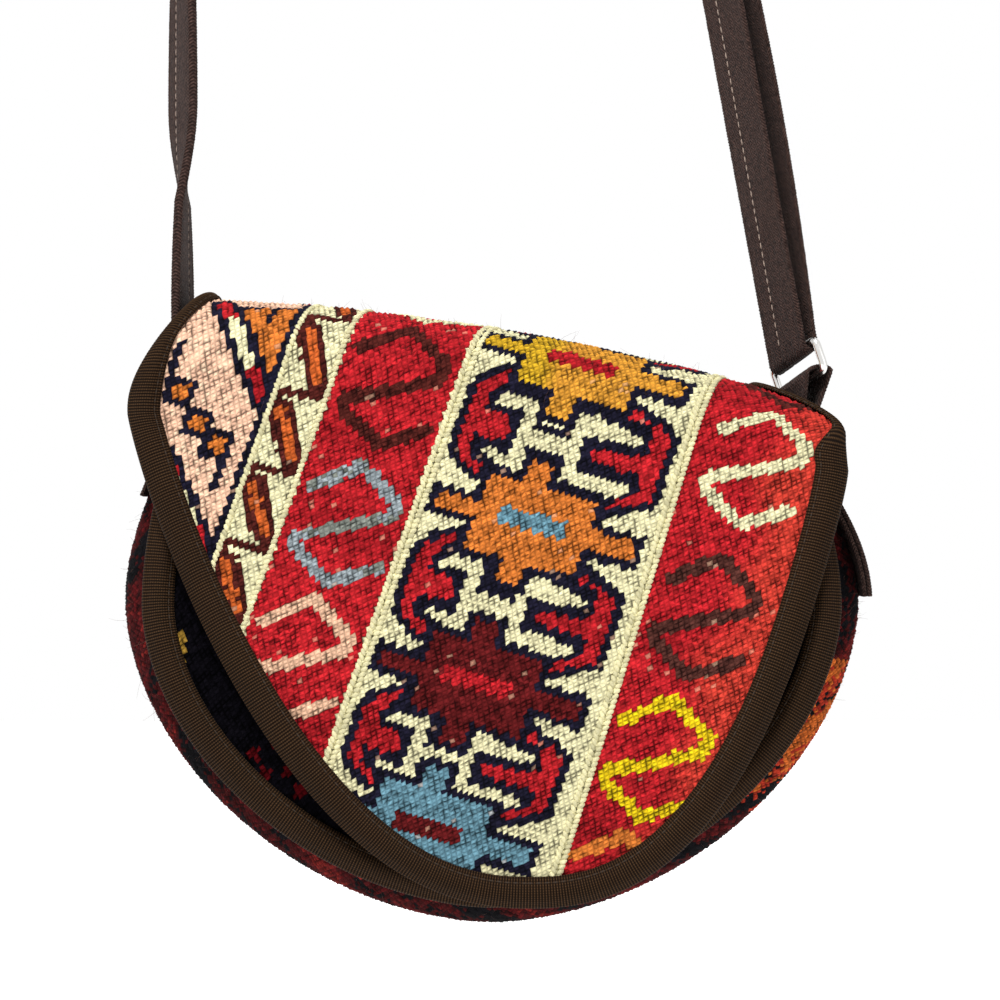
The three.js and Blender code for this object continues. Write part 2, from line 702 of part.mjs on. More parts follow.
function strap() {
  const sewn = spread(STRAP_SEWN_Z, MOUTH_Z, 4)
    .map((z) => ({ centre: webSeat(z, -1, 0), across: leftAcross(0) }));
  const leftRun = spread(leftTop.z, crest.z, 12).slice(1)
    .map((z) => ({ centre: vec(leftTop.x, leftTop.y, z), across: leftAcross(z - leftTop.z) }));
  const overCrest = spread(0, 1, CREST_STEPS).slice(1).map((share) => ({
    centre: crestPoint(share),
    across: vec(0, -1, 0).lerp(runAcross, smooth(2 * share - 1)).normalize(),
  }));
  const rightRun = spread(SKEW_LENGTH, 0, 4).slice(0, -1)
    .map((up) => ({ centre: runPoint(up, 0), across: runAcrossAt(up) }));
  const down = ringUp.clone().negate();
  const fold = foldStations(ringBar, runFace, down, foldRadius, foldRadius, barAcross);
  const stub = { centre: runPoint(STUB, 2 * foldRadius), across: runAcrossAt(STUB) };
  return webbing([...sewn, ...leftRun, ...overCrest, ...rightRun, ...fold, stub]);
}

const barOut = WEB / 2 + SEAT_GAP + WEB + SEAT_GAP + SLIDER_WIRE / 2;
const loopRadius = SLIDER_WIRE / 2 + SEAT_GAP + WEB / 2;

function strapReturn() {
  const stations = spread(0, 1, BEND_STEPS).map((share) => {
    const up = lerp(STUB + SEAT_GAP, SLIDER_UP - END_LOOP_LENGTH - SEAT_GAP, share);
    const out = lerp(2 * foldRadius, barOut + loopRadius, share) + RETURN_BOW * Math.sin(Math.PI * share);
    return { centre: runPoint(up, out), across: runAcrossAt(up) };
  });
  return webbing(stations);
}

// Ring tab: doubled webbing sewn to the right end of the gusset, looped through the ring

function ringTab() {
  const play = RING_SWING_PLAY + WEB / 2 + RING_WIRE / 2;
  const lowerBar = ringBar.clone().addScaledVector(ringUp, -RING_DROP);
  const across = vec(0, -1, 0);
  const leg = (layers) => spread(TAB_SEWN_Z, MOUTH_Z + KILIM, 8)
    .map((z) => ({ centre: webSeat(z, 1, layers), across: across.clone() }));
  const loop = foldStations(lowerBar, runFace, ringUp, play, foldRadius, ringAcross);
  return webbing([...leg(0), ...loop, ...leg(1).reverse()]);
}

// Ring and slider, in frames of their own: X across the strap, Y out of its face and Z up it

function ring() {
  const halfX = (WEB_WIDTH / 2) * barAcross.length() + RING_SIDE_PLAY + RING_WIRE / 2;
  const path = roundedLoop(halfX, RING_DROP / 2, RING_CORNER);
  return wire(path, RING_WIRE, vec(0, 1, 0), true);
}

function slider() {
  const halfX = WEB_WIDTH / 2 + SLIDER_SIDE_PLAY + SLIDER_WIRE / 2;
  const frameOut = -(WEB / 2 + SEAT_GAP + SLIDER_WIRE / 2);
  const frame = wire(roundedLoop(halfX, SLIDER_HEIGHT / 2, SLIDER_CORNER), SLIDER_WIRE, vec(0, 1, 0), true);
  frame.translate(0, frameOut, 0);
  const bend = SLIDER_WIRE;
  const corner = (side, from, to) => spread(from, to, CORNER_STEPS).map((turn) => vec(
    side * (halfX - bend + bend * Math.cos(degToRad(turn))),
    barOut - bend + bend * Math.sin(degToRad(turn)),
    0,
  ));
  const bridge = [
    vec(-halfX, frameOut, 0),
    ...corner(-1, 0, 90),
    ...corner(1, 90, 0),
    vec(halfX, frameOut, 0),
  ];
  return joined(solidOf(frame), solidOf(wire(bridge, SLIDER_WIRE, vec(0, 0, 1), false)));
}

function strapEndLoop() {
  const across = vec(1, 0, 0);
  const bar = vec(0, barOut, 0);
  const fold = foldStations(bar, vec(0, 1, 0), vec(0, 0, 1), loopRadius, loopRadius, across);
  const legEnd = (out) => ({ centre: vec(0, barOut + out, -END_LOOP_LENGTH), across: across.clone() });
  return webbing([legEnd(-loopRadius), ...fold, legEnd(loopRadius)]);
}

// Scene graph

function piece(name, geometry, finish) {
  const mesh = new THREE.Mesh(geometry, new THREE.MeshStandardMaterial(finish));
  mesh.name = name;
  return mesh;
}

function placed(position, across, face, up) {
  const group = new THREE.Group();
  group.quaternion.setFromRotationMatrix(new THREE.Matrix4().makeBasis(across, face, up));
  group.position.copy(position);
  return group;
}

const ringFrame = placed(
  ringBar.clone().addScaledVector(ringUp, -RING_DROP / 2), ringAcross, runFace, ringUp,
);
ringFrame.add(piece('ring', ring(), COLOURS.chrome));

const sliderFrame = placed(runPoint(SLIDER_UP, 0), runAcross, runFace, runUp);
sliderFrame.add(
  piece('slider', slider(), COLOURS.chrome),
  piece('strap_end_loop', strapEndLoop(), COLOURS.webbing),
);

const bag = new THREE.Group();
bag.position.set(-crestTop.x, 0, WEB / 2 - crestTop.z);
bag.add(
  piece('flap_and_back', flapAndBack(), COLOURS.kilim),
  piece('flap_lining', flapLining(), COLOURS.lining),
  piece('flap_binding', flapBinding(), COLOURS.tape),
  piece('front_panel', frontPanel(), COLOURS.darkKilim),
  piece('front_binding', frontBinding(), COLOURS.tape),
  piece('mouth_binding', mouthBinding(), COLOURS.tape),
  piece('gusset', gusset(), COLOURS.gussetKilim),
  piece('lining_pouch', liningPouch(), COLOURS.lining),
  piece('strap', strap(), COLOURS.webbing),
  piece('strap_return', strapReturn(), COLOURS.webbing),
  piece('ring_tab', ringTab(), COLOURS.webbing),
  ringFrame,
  sliderFrame,
);

const model = new THREE.Group();
model.add(bag);
model.updateMatrixWorld(true);

export default model;
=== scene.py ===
import math

import bmesh
import bpy
import numpy as np
from mathutils import Matrix, Vector


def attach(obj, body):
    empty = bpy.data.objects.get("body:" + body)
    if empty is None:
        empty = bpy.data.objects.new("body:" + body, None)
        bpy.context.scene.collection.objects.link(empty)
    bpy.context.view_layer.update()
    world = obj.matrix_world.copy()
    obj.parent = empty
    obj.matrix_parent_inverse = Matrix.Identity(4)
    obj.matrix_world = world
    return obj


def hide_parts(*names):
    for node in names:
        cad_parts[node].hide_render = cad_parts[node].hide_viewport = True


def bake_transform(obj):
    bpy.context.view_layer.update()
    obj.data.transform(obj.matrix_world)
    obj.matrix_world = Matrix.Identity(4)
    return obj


# Kilim crossbody bag. Lengths are in mm until a point is placed.
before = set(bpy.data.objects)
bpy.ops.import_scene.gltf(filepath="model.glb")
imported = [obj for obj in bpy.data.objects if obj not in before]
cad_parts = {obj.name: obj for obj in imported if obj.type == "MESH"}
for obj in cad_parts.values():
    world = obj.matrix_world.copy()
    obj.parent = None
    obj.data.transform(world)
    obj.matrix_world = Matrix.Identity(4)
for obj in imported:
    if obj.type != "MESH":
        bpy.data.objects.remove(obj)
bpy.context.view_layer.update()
MM = 0.001

# Cloth, tape and webbing; a tuck is how far a cloth's edge lies inside its tape
FLAP_TUCK, FRONT_TUCK, MOUTH_TUCK = 3, 2.5, 1
KILIM, LINING, TAPE, TAPE_LEG, TAPE_SLACK, TAPE_BEND = 4, 1, 1, 12.4, 0.6, 0.9
SEAT_GAP, WEB, WEB_WIDTH, COTTON_THICK = 0.3, 2, 30, 0.8

# Front and back panels, with the gusset strip between them
PANEL_WIDTH, PANEL_ROUNDNESS, PANEL_TAPER = 298, 1.8, 1.8
BODY_DROP, WIDEST_Z, MOUTH_Z, MOUTH_NARROWING = 7, 135, 212, 17
DEPTH_LOW, DEPTH_TOP, DEPTH_LOW_Z = 62, 42, 100
FRONT_PUFF, BACK_PUFF, GUSSET_INSET, GUSSET_PUFF, GUSSET_PUFF_TOP = 8, 4, 4, 15, 6
ROUND_SHARE = 0.66

# Flap, one cloth with the back panel
FLAP_WIDTH, FLAP_ROUNDNESS, FLAP_TAPER, FLAP_TIP_Z = 306, 2.3, 1.2, 7
SHOULDER_Z, SHOULDER_RIGHT_Z, FOLD_Z, FLAP_CLEARANCE = 210, 234, 253, 12
FLAP_SWELL, SWELL_LENGTH, TIP_TUCK, TIP_TUCK_Z, SIDE_FALL = 14, 150, 6, 100, 0.35
NECK_LEFT, NECK_RIGHT, NECK_SHARE = 126, 116, 0.58
FLAP_SWING, SWING_ZERO_Z = 17, 192
HANG_SLOPE, HANG_FROM_Z, CROWN_DROP, CROWN_HALF = 0.165, 115, 8, 126

# Strap, ring and slider
CREST_Z, CREST_RADIUS, STRAP_SEWN_Z, TWIST_LENGTH = 690, 103, 176, 180
TWIST_LOW, TWIST_HIGH, TWIST_SHARE = 6, 26, 0.75
RUN_TURN, FOLD_SKEW, SKEW_LENGTH = 28, 14, 60
RING_WIRE, RING_DROP, RING_SIDE_PLAY, RING_CORNER = 3.6, 14, 1.6, 3
RING_RISE, RING_INWARD, RING_SWING_PLAY, TAB_SEWN_Z, STUB = 45, 3, 3.6, 138, 5
SLIDER_WIRE, SLIDER_HEIGHT, SLIDER_CORNER, SLIDER_SIDE_PLAY = 2.8, 24, 4, 1
SLIDER_UP, END_LOOP_LENGTH, RETURN_BOW = 230, 30, 3

# Weave: two staggered columns of stitches to WEFT_PITCH, each stitch ROW_PITCH long and leaning by ROW_LEAN
WEFT_PITCH, ROW_PITCH, ROW_LEAN = 2.55, 3.1, -0.3
GRAIN_RISE, GRAIN_DIP, GRAIN_PIT, PIT_SHARE, GRAIN_STRAY = 0.5, -0.12, -0.42, 0.4, 0.12
# The dip and chain levels on the next line are painted shade: the wool finish darkens the valleys between
# stitches, and the chain stitches all over, by them
PLACE_STRAY, MOTIF_RISE, DIP_SHADE, CHAIN_SHADE = 0.2, 0.45, 0.46, 0.62
SCALLOP, CHAIN_PITCH, CHAIN_RISE, CHAIN_LENGTH, CHAIN_THICK = 0.8, 2.3, 0.15, 3.5, 2.3
RIB_PITCH, RIB_RISE, NARROW_LEFT, NARROW_RIGHT = 1.3, 0.28, 0.5, 0.74
TAPE_ROLL, SEAM_INSET, WARP_THREAD = 3.2, 2.2, 1.05
WEB_STEP, WEB_PLUMP, WEB_SEAM, WEB_RIB, TAB_LOOP_PLUMP = 0.65, 1.1, -3.9, 0.08, 0.85
STITCH_PITCH, STITCH_LENGTH, TAPE_THREAD, WEB_THREAD = 4.0, 2.9, 0.75, 0.8
STITCHES_IN_LOT = 64
FLAP_HAIRS, GUSSET_HAIRS, HAIR_RINGS, HAIR_SHORT, HAIR_LONGER = 320, 620, 4, 1.2, 6.5
HAIR_RADIUS, HAIR_TAPER = 0.06, 0.035


def mix(a, b, t):
    return a + (b - a) * t


def smooth(t):
    t = np.clip(t, 0, 1)
    return t * t * (3 - 2 * t)


def unit(v):
    return v / np.linalg.norm(v, axis=-1, keepdims=True)


def vec(x, y, z):
    return np.stack(np.broadcast_arrays(x, y, z), -1).astype(float)


# Outlines and surfaces of the cloths

def round_half(half, z, tip, widest, roundness, taper):
    down = np.clip((widest - z) / (widest - tip), 0, 1)
    return half * (1 - down ** taper) ** (1 / roundness)


panel_bottom = GUSSET_PUFF - GUSSET_INSET + KILIM / 2 - BODY_DROP


def panel_half(z):
    low = round_half(PANEL_WIDTH / 2, z, panel_bottom, WIDEST_Z, PANEL_ROUNDNESS, PANEL_TAPER)
    high = PANEL_WIDTH / 2 - MOUTH_NARROWING * ((z - WIDEST_Z) / (MOUTH_Z - WIDEST_Z)) ** 2
    return np.where(z < WIDEST_Z, low, high)


def depth_at(z):
    return mix(DEPTH_LOW, DEPTH_TOP, smooth((z - DEPTH_LOW_Z) / (MOUTH_Z - DEPTH_LOW_Z)))


def puff_at(x, z):
    middle = (panel_bottom + MOUTH_Z) / 2
    high = (z - middle) / (MOUTH_Z - middle)
    return np.maximum(0, 1 - (x / (PANEL_WIDTH / 2)) ** 2 - high ** 2) ** 1.5


def panel_edge(k):
    side, along = np.sign(k), np.abs(k)
    turn = np.minimum(along / ROUND_SHARE, 1) * math.pi / 2
    round_x = PANEL_WIDTH / 2 * np.sin(turn) ** (2 / PANEL_ROUNDNESS)
    round_z = WIDEST_Z - (WIDEST_Z - panel_bottom) * np.abs(np.cos(turn)) ** (2 / PANEL_TAPER)
    side_z = mix(WIDEST_Z, MOUTH_Z, (along - ROUND_SHARE) / (1 - ROUND_SHARE))
    low = along < ROUND_SHARE
    return np.stack([side * np.where(low, round_x, panel_half(side_z)), np.where(low, round_z, side_z)], -1)


def panel_inward(k):
    along = unit(panel_edge(k + 0.01) - panel_edge(k - 0.01))
    return np.stack([-along[..., 1], along[..., 0]], -1)


def droop(x, z):
    pull = np.maximum(0, (z - HANG_FROM_Z) / (FOLD_Z - HANG_FROM_Z)) ** 2
    return pull * (HANG_SLOPE * x + CROWN_DROP * (x / CROWN_HALF) ** 2)


def hang(x, y, z):
    return vec(x, y, z - droop(x, z))


def front_surface(x, z):
    return hang(x, -depth_at(z) / 2 - FRONT_PUFF * puff_at(x, z), z)


arch_radius = (DEPTH_TOP + FLAP_CLEARANCE) / 2
arch_z = FOLD_Z - arch_radius
arch_y = -FLAP_CLEARANCE / 2
back_start = arch_z + math.pi * arch_radius
back_mouth = back_start + arch_z - MOUTH_Z
back_widest = back_start + arch_z - WIDEST_Z
back_bottom = back_start + arch_z - panel_bottom


def swell_at(x, z):
    rise = FLAP_SWELL * smooth((arch_z - z) / SWELL_LENGTH)
    tuck = TIP_TUCK * np.maximum(0, (TIP_TUCK_Z - z) / (TIP_TUCK_Z - FLAP_TIP_Z)) ** 2
    return (rise - tuck) * (1 - SIDE_FALL * (x / (FLAP_WIDTH / 2)) ** 2)


def flap_surface(x, s):
    turn = np.clip((s - arch_z) / arch_radius, 0, math.pi)
    back_z = back_start + arch_z - s
    front, over = s < arch_z, s < back_start
    z = np.where(front, s, np.where(over, arch_z + arch_radius * np.sin(turn), back_z))
    back_y = depth_at(back_z) / 2 + BACK_PUFF * puff_at(x, back_z)
    front_y = arch_y - arch_radius - swell_at(x, s)
    y = np.where(front, front_y, np.where(over, arch_y - arch_radius * np.cos(turn), back_y))
    return hang(x, y, z)


front_seam = KILIM / 2 + TAPE_SLACK + TAPE + SEAT_GAP
back_seam = KILIM / 2 + LINING + 2 * TAPE_SLACK + TAPE + SEAT_GAP


def gusset_surface(t, k):
    edge, inward = panel_edge(k), panel_inward(k)
    rise = smooth((edge[..., 1] - WIDEST_Z) / (MOUTH_Z - WIDEST_Z))
    puff = mix(GUSSET_PUFF, GUSSET_PUFF_TOP, rise) * (0.5 + 0.5 * np.cos(math.pi * t))
    half = depth_at(edge[..., 1]) / 2
    out = edge + inward * (GUSSET_INSET - puff)[..., None]
    return hang(out[..., 0], mix(front_seam - half, half - back_seam, (t + 1) / 2), out[..., 1])


def lift(surface, a, b, height, step=0.2):
    across = surface(a + step, b) - surface(a - step, b)
    along = surface(a, b + step) - surface(a, b - step)
    normal = unit(np.cross(across, along))
    return surface(a, b) + normal * np.asarray(height, float)[..., None]


def lift_flap(x, s, height):
    return lift(flap_surface, x, s, height)


def lift_front(x, z, height):
    return lift(front_surface, x, z, height)


def lift_gusset(t, k, height):
    return lift(gusset_surface, t, k, height, 0.004)


def flap_half(s, side):
    neck = np.where(side < 0, NECK_LEFT, NECK_RIGHT)
    shoulder = np.where(side < 0, SHOULDER_Z, SHOULDER_RIGHT_Z)
    neck_at = mix(arch_z, back_start, NECK_SHARE)
    low = round_half(FLAP_WIDTH / 2, s, FLAP_TIP_Z, SHOULDER_Z, FLAP_ROUNDNESS, FLAP_TAPER)
    waist = mix(FLAP_WIDTH / 2, neck, smooth((s - shoulder) / (neck_at - shoulder)))
    widening = mix(neck, panel_half(np.float64(MOUTH_Z)), (s - neck_at) / (back_mouth - neck_at))
    back = panel_half(back_start + arch_z - s)
    return np.select([s < shoulder, s < neck_at, s < back_mouth], [low, waist, widening], back)


def flap_middle(s):
    fade = 1 - smooth((s - SHOULDER_Z) / (FOLD_Z - SHOULDER_Z))
    return FLAP_SWING * (1 - s / SWING_ZERO_Z) * fade


# Places of the strap, ring and slider

web_lift = KILIM / 2 + SEAT_GAP + WEB / 2


def web_seat(z, side, layers):
    k = side * mix(ROUND_SHARE, 1, (np.asarray(z, float) - WIDEST_Z) / (MOUTH_Z - WIDEST_Z))
    return lift_gusset(np.zeros_like(k), k, np.full_like(k, web_lift + layers * (WEB + SEAT_GAP)))


left_top, right_top = web_seat(MOUTH_Z, -1, 0), web_seat(MOUTH_Z, 1, 0)
crest = vec(left_top[0] + CREST_RADIUS, 0, CREST_Z - CREST_RADIUS)
ring_bar = vec(right_top[0] - RING_INWARD, 0, right_top[2] + RING_RISE)
to_crest = crest - ring_bar
lean = math.atan2(-to_crest[0], to_crest[2]) - math.asin(CREST_RADIUS / np.linalg.norm(to_crest))
run_up = vec(-math.sin(lean), 0, math.cos(lean))
run_across = vec(math.sin(math.radians(RUN_TURN)), -math.cos(math.radians(RUN_TURN)), 0)
run_across = unit(run_across - run_up * run_across.dot(run_up))
run_face = np.cross(run_up, run_across)
skew = math.tan(math.radians(FOLD_SKEW))
bar_across = run_across + run_up * skew
ring_across = unit(bar_across)
ring_up = np.cross(ring_across, run_face)
fold_radius = RING_WIRE / 2 + SEAT_GAP + WEB / 2


def run_point(up, out):
    return ring_bar + np.multiply.outer(up, run_up) + np.multiply.outer(out - fold_radius, run_face)


def run_across_at(up):
    return run_across + np.multiply.outer(skew * (1 - smooth(up / SKEW_LENGTH)), run_up)


def crest_point(share):
    turn = mix(math.pi, lean, share)
    run_start = run_point(0.0, 0.0)
    end_radius = (run_start - crest).dot(vec(math.cos(lean), 0, math.sin(lean)))
    radius = mix(CREST_RADIUS, end_radius, share)
    y = mix(left_top[1], run_start[1], share)
    return vec(crest[0] + radius * np.cos(turn), y, crest[2] + radius * np.sin(turn))


crest_top = crest_point(math.pi / 2 / (math.pi - lean))
SHIFT = vec(-crest_top[0], 0, WEB / 2 - crest_top[2])


def placed(points):
    return (points + SHIFT) * MM


# Shader finishes

SEEN_RAYS = ("Is Camera Ray", "Is Glossy Ray", "Is Transmission Ray")


class Value:
    """A socket that takes part in sums."""

    def __init__(self, finish, socket):
        self.finish, self.socket = finish, socket

    def __add__(self, other):
        return self.finish.sum("ADD", self, other)

    def __sub__(self, other):
        return self.finish.sum("SUBTRACT", self, other)

    def __rsub__(self, other):
        return self.finish.sum("SUBTRACT", other, self)

    def __mul__(self, other):
        return self.finish.sum("MULTIPLY", self, other)

    __radd__, __rmul__ = __add__, __mul__


class Finish:
    """The nodes of a material or of the world."""

    def __init__(self, owner, shader, **constants):
        owner.use_nodes = True
        self.owner, self.tree = owner, owner.node_tree
        self.shader = self.tree.nodes[shader]
        for key, value in constants.items():
            self.shader.inputs[key.replace("_", " ").title().replace("Ior", "IOR")].default_value = value

    def node(self, kind, settings=None, sockets=None, out=0):
        node = self.tree.nodes.new("ShaderNode" + kind)
        for key, value in (settings or {}).items():
            setattr(node, key, value)
        for key, value in (sockets or {}).items():
            self.put(node.inputs[key], value)
        return Value(self, node.outputs[out])

    def put(self, socket, value):
        if isinstance(value, Value):
            self.tree.links.new(value.socket, socket)
        elif socket.type == "RGBA" and len(value) == 3:
            socket.default_value = (*value, 1)
        else:
            socket.default_value = value

    def sum(self, operation, a, b):
        return self.node("Math", {"operation": operation}, {0: a, 1: b})

    def blend(self, share, a, b, how="MIX"):
        return self.node("Mix", {"data_type": "RGBA", "blend_type": how}, {0: share, 6: a, 7: b}, 2)

    def grey(self, value):
        return self.node("CombineColor", {}, {0: value, 1: value, 2: value})

    def spot(self):
        return self.node("TexCoord", out=3)

    def noise(self, scale, detail=2.0):
        return self.node("TexNoise", {}, {"Vector": self.spot(), "Scale": scale, "Detail": detail})

    def seen(self):
        """1 where a camera, a mirror or a glass looks, and 0 where light is only gathered."""
        return sum(self.node("LightPath", out=ray) for ray in SEEN_RAYS)

    def wave(self, place, pitch):
        """From 0 to 1 and back once in each pitch."""
        turn = place * (2 * math.pi / (pitch * MM))
        return 0.5 - self.node("Math", {"operation": "COSINE"}, {0: turn}) * 0.5

    def along_and_across(self):
        uv = self.node("UVMap")
        return [self.node("SeparateXYZ", {}, {0: uv}, axis) for axis in (0, 1)]

    def bump(self, height, strength, distance):
        sockets = {"Height": height, "Strength": strength, "Distance": distance}
        self.put(self.shader.inputs["Normal"], self.node("Bump", {}, sockets))

    def colour(self, value):
        self.put(self.shader.inputs["Base Color"], value)

    def roughness(self, value):
        self.put(self.shader.inputs["Roughness"], value)


def finish_of(name, **constants):
    return Finish(bpy.data.materials.new(name), "Principled BSDF", **constants)


def wool_finish(name, gloss, sheen):
    wool = finish_of(name, specular_ior_level=gloss, sheen_weight=sheen, sheen_roughness=0.5)
    yarn = wool.node("Attribute", {"attribute_name": "yarn"})
    painted_stitch_shade = wool.node("Attribute", {"attribute_name": "painted_stitch_shade"}, out=2)
    fibre = wool.noise(1500.0, 3.0)
    tuft = wool.noise(420.0, 2.0)
    # The stitch attribute is painted light and shade: crowns are lightened as a painted highlight, and
    # valleys and pits darkened as painted shade between stitches. The fibre and tuft noise are the yarn's own
    # random tone.
    shade = (fibre * 0.7 + tuft * 0.4 + 0.56) * (painted_stitch_shade * 1.12 + 0.06)
    wool.colour(wool.blend(1.0, yarn, wool.grey(shade), "MULTIPLY"))
    wool.roughness(0.82 + fibre * 0.2)
    wool.bump(fibre, 0.6, 0.0006)
    return wool.owner


def tape_finish():
    tape = finish_of("brown_grosgrain", specular_ior_level=0.05, sheen_weight=0.01, sheen_roughness=0.4)
    along, across = tape.along_and_across()
    rib, thread = tape.wave(along, RIB_PITCH), tape.wave(across, WARP_THREAD)
    worn = tape.noise(60.0, 3.0)
    fibre = tape.noise(2200.0, 2.0)
    deep = tape.blend(worn, (0.004, 0.0022, 0.0014), (0.009, 0.005, 0.003))
    lit = rib * rib * (thread * 0.7 + 0.3) * (fibre * 0.9 + worn * 0.3 + 0.1)
    tape.colour(tape.blend(lit, deep, (0.122, 0.063, 0.028)))
    tape.roughness(0.62 + worn * 0.25)
    tape.bump(rib + thread * 0.5 + fibre * 0.5, 0.6, 0.0003)
    return tape.owner


def webbing_finish():
    web = finish_of("brown_twill_webbing", specular_ior_level=0.1, sheen_weight=0.03, sheen_roughness=0.4)
    along, across = web.along_and_across()
    chevron = web.node("Math", {"operation": "PINGPONG"}, {0: across, 1: 0.0025})
    twill = web.node("Math", {"operation": "SINE"}, {0: (along + chevron) * 4200.0})
    fibre = web.noise(1800.0, 2.0)
    worn = web.noise(45.0, 3.0)
    base = web.blend(worn, (0.006, 0.003, 0.0026), (0.013, 0.0065, 0.0055))
    cord = twill * 0.5 + 0.5
    slub = web.noise(650.0, 2.0)
    lit = (cord * cord * 0.7 + 0.2) * (fibre + slub * 2.2 - 1.0)
    web.colour(web.blend(lit, base, (0.128, 0.071, 0.057)))
    web.roughness(0.55 + worn * 0.3)
    web.bump(cord + fibre * 0.5 + slub * 1.5, 0.8, 0.0006)
    return web.owner


def lining_finish():
    cotton = finish_of("dark_cotton", specular_ior_level=0.2)
    weave = cotton.noise(2600.0, 1.0)
    worn = cotton.noise(30.0, 3.0)
    cotton.colour(cotton.blend(weave * 0.6, (0.016, 0.012, 0.011), (0.040, 0.032, 0.028)))
    cotton.roughness(0.8 + worn * 0.15)
    cotton.bump(weave, 0.4, 0.0002)
    return cotton.owner


def metal_finish():
    metal = finish_of("bright_nickel", metallic=1.0)
    rub = metal.noise(900.0, 4.0)
    haze = metal.noise(70.0, 2.0)
    metal.colour(metal.blend(haze, (0.62, 0.61, 0.59), (0.78, 0.77, 0.75)))
    metal.roughness(0.12 + rub * 0.14)
    metal.bump(rub, 0.05, 0.0001)
    return metal.owner


def thread_finish(name, deep, pale):
    thread = finish_of(name, specular_ior_level=0.3)
    twist = thread.noise(2500.0, 1.0)
    thread.colour(thread.blend(twist, deep, pale))
    thread.roughness(0.6 + twist * 0.2)
    thread.bump(twist, 0.3, 0.0002)
    return thread.owner


WOOL, DARK_WOOL = wool_finish("wool_yarn", 0.06, 0.02), wool_finish("dark_wool_yarn", 0.02, 0.0)
TAPE_CLOTH, WEBBING = tape_finish(), webbing_finish()
COTTON, NICKEL = lining_finish(), metal_finish()
BROWN_THREAD = thread_finish("brown_thread", (0.013, 0.008, 0.005), (0.038, 0.025, 0.016))
PALE_THREAD = thread_finish("pale_thread", (0.200, 0.140, 0.110), (0.460, 0.360, 0.300))
DOWN = thread_finish("wool_down", (0.050, 0.010, 0.008), (0.220, 0.110, 0.075))


# Kilim pattern, woven shape over shape; u runs along the weft and w down the warp

RED, RED_DEEP, CORAL = (0.50, 0.016, 0.022), (0.24, 0.006, 0.010), (0.66, 0.058, 0.034)
IVORY, NAVY, MAROON = (0.84, 0.78, 0.47), (0.010, 0.009, 0.022), (0.120, 0.009, 0.010)
OAK, ORANGE, OCHRE = (0.078, 0.013, 0.010), (0.66, 0.185, 0.032), (0.68, 0.30, 0.035)
YELLOW, SKY, SLATE = (0.86, 0.60, 0.010), (0.135, 0.280, 0.355), (0.305, 0.352, 0.376)
SHELL, SALMON, COCOA = (0.78, 0.47, 0.31), (0.96, 0.58, 0.40), (0.085, 0.026, 0.020)
GOLD, SOOT, MOSS, OLIVE = (0.33, 0.19, 0.03), (0.003, 0.0025, 0.004), (0.17, 0.18, 0.14), (0.60, 0.38, 0.015)
RUST, WINE = (0.56, 0.110, 0.022), (0.080, 0.003, 0.005)
PLUM, CLARET, GARNET = (0.046, 0.003, 0.0035), (0.085, 0.005, 0.006), (0.15, 0.011, 0.009)
EMBER, FLAME = (0.44, 0.035, 0.015), (0.60, 0.13, 0.022)
WEFT, WARP = (0.9613, 0.2756), (-0.3305, 0.9438)
CROSS_X, CROSS_Z = 17.15, 169.1
OUTLINE, HOOK_SCALE, HOOK_WIDTH = 3.5, 1.04, 5.4

# Stripes across the weft, and where the red turns coral
CORAL_FROM, NO_CORAL = 88.0, 1e6
FIELD_LEFT, FIELD_RIGHT, FIELD_PITCH = -187, -125, 128
ZIGZAGS, ZIGZAG_WIDTH = (-212.2, -125.5, 121), 25.2
IVORY_LEFT = -51


def ivory_edge(w):
    """Right edge of the wide ivory stripe, which narrows to the top."""
    return 55.5 + 0.035 * w


def from_kilim(u, w):
    return CROSS_X + WEFT[0] * u + WARP[0] * w, CROSS_Z - WEFT[1] * u - WARP[1] * w


class Loom:
    """Colours of stitches at places (u, w)."""

    def __init__(self, u, w, ground):
        self.u, self.w = u, w
        self.colour = np.tile(np.array(ground, float), (len(u), 1))

    def fill(self, where, colour):
        self.colour[where] = colour

    def stripe(self, u0, u1, colour):
        self.fill((self.u > u0) & (self.u < u1), colour)

    def block(self, u0, u1, w0, w1, grow=0.0):
        wide = (self.u > u0 - grow) & (self.u < u1 + grow)
        return wide & (self.w > w0 - grow) & (self.w < w1 + grow)

    def off_line(self, points):
        far = np.full(len(self.u), np.inf)
        for (u0, w0), (u1, w1) in zip(points[:-1], points[1:]):
            du, dw = u1 - u0, w1 - w0
            t = np.clip(((self.u - u0) * du + (self.w - w0) * dw) / (du * du + dw * dw), 0, 1)
            far = np.minimum(far, np.hypot(self.u - u0 - t * du, self.w - w0 - t * dw))
        return far

    def line(self, points, width, colour):
        self.fill(self.off_line(points) < width / 2, colour)

    def inside(self, points):
        odd = np.zeros(len(self.u), bool)
        for (u0, w0), (u1, w1) in zip(points, points[1:] + points[:1]):
            if w0 != w1:
                crosses = (w0 > self.w) != (w1 > self.w)
                odd ^= crosses & (self.u < (u1 - u0) * (self.w - w0) / (w1 - w0) + u0)
        return odd

    def outlined(self, points, colour, width=OUTLINE):
        within = self.inside(points)
        self.fill(within | (self.off_line(points + points[:1]) < width), NAVY)
        self.fill(within, colour)


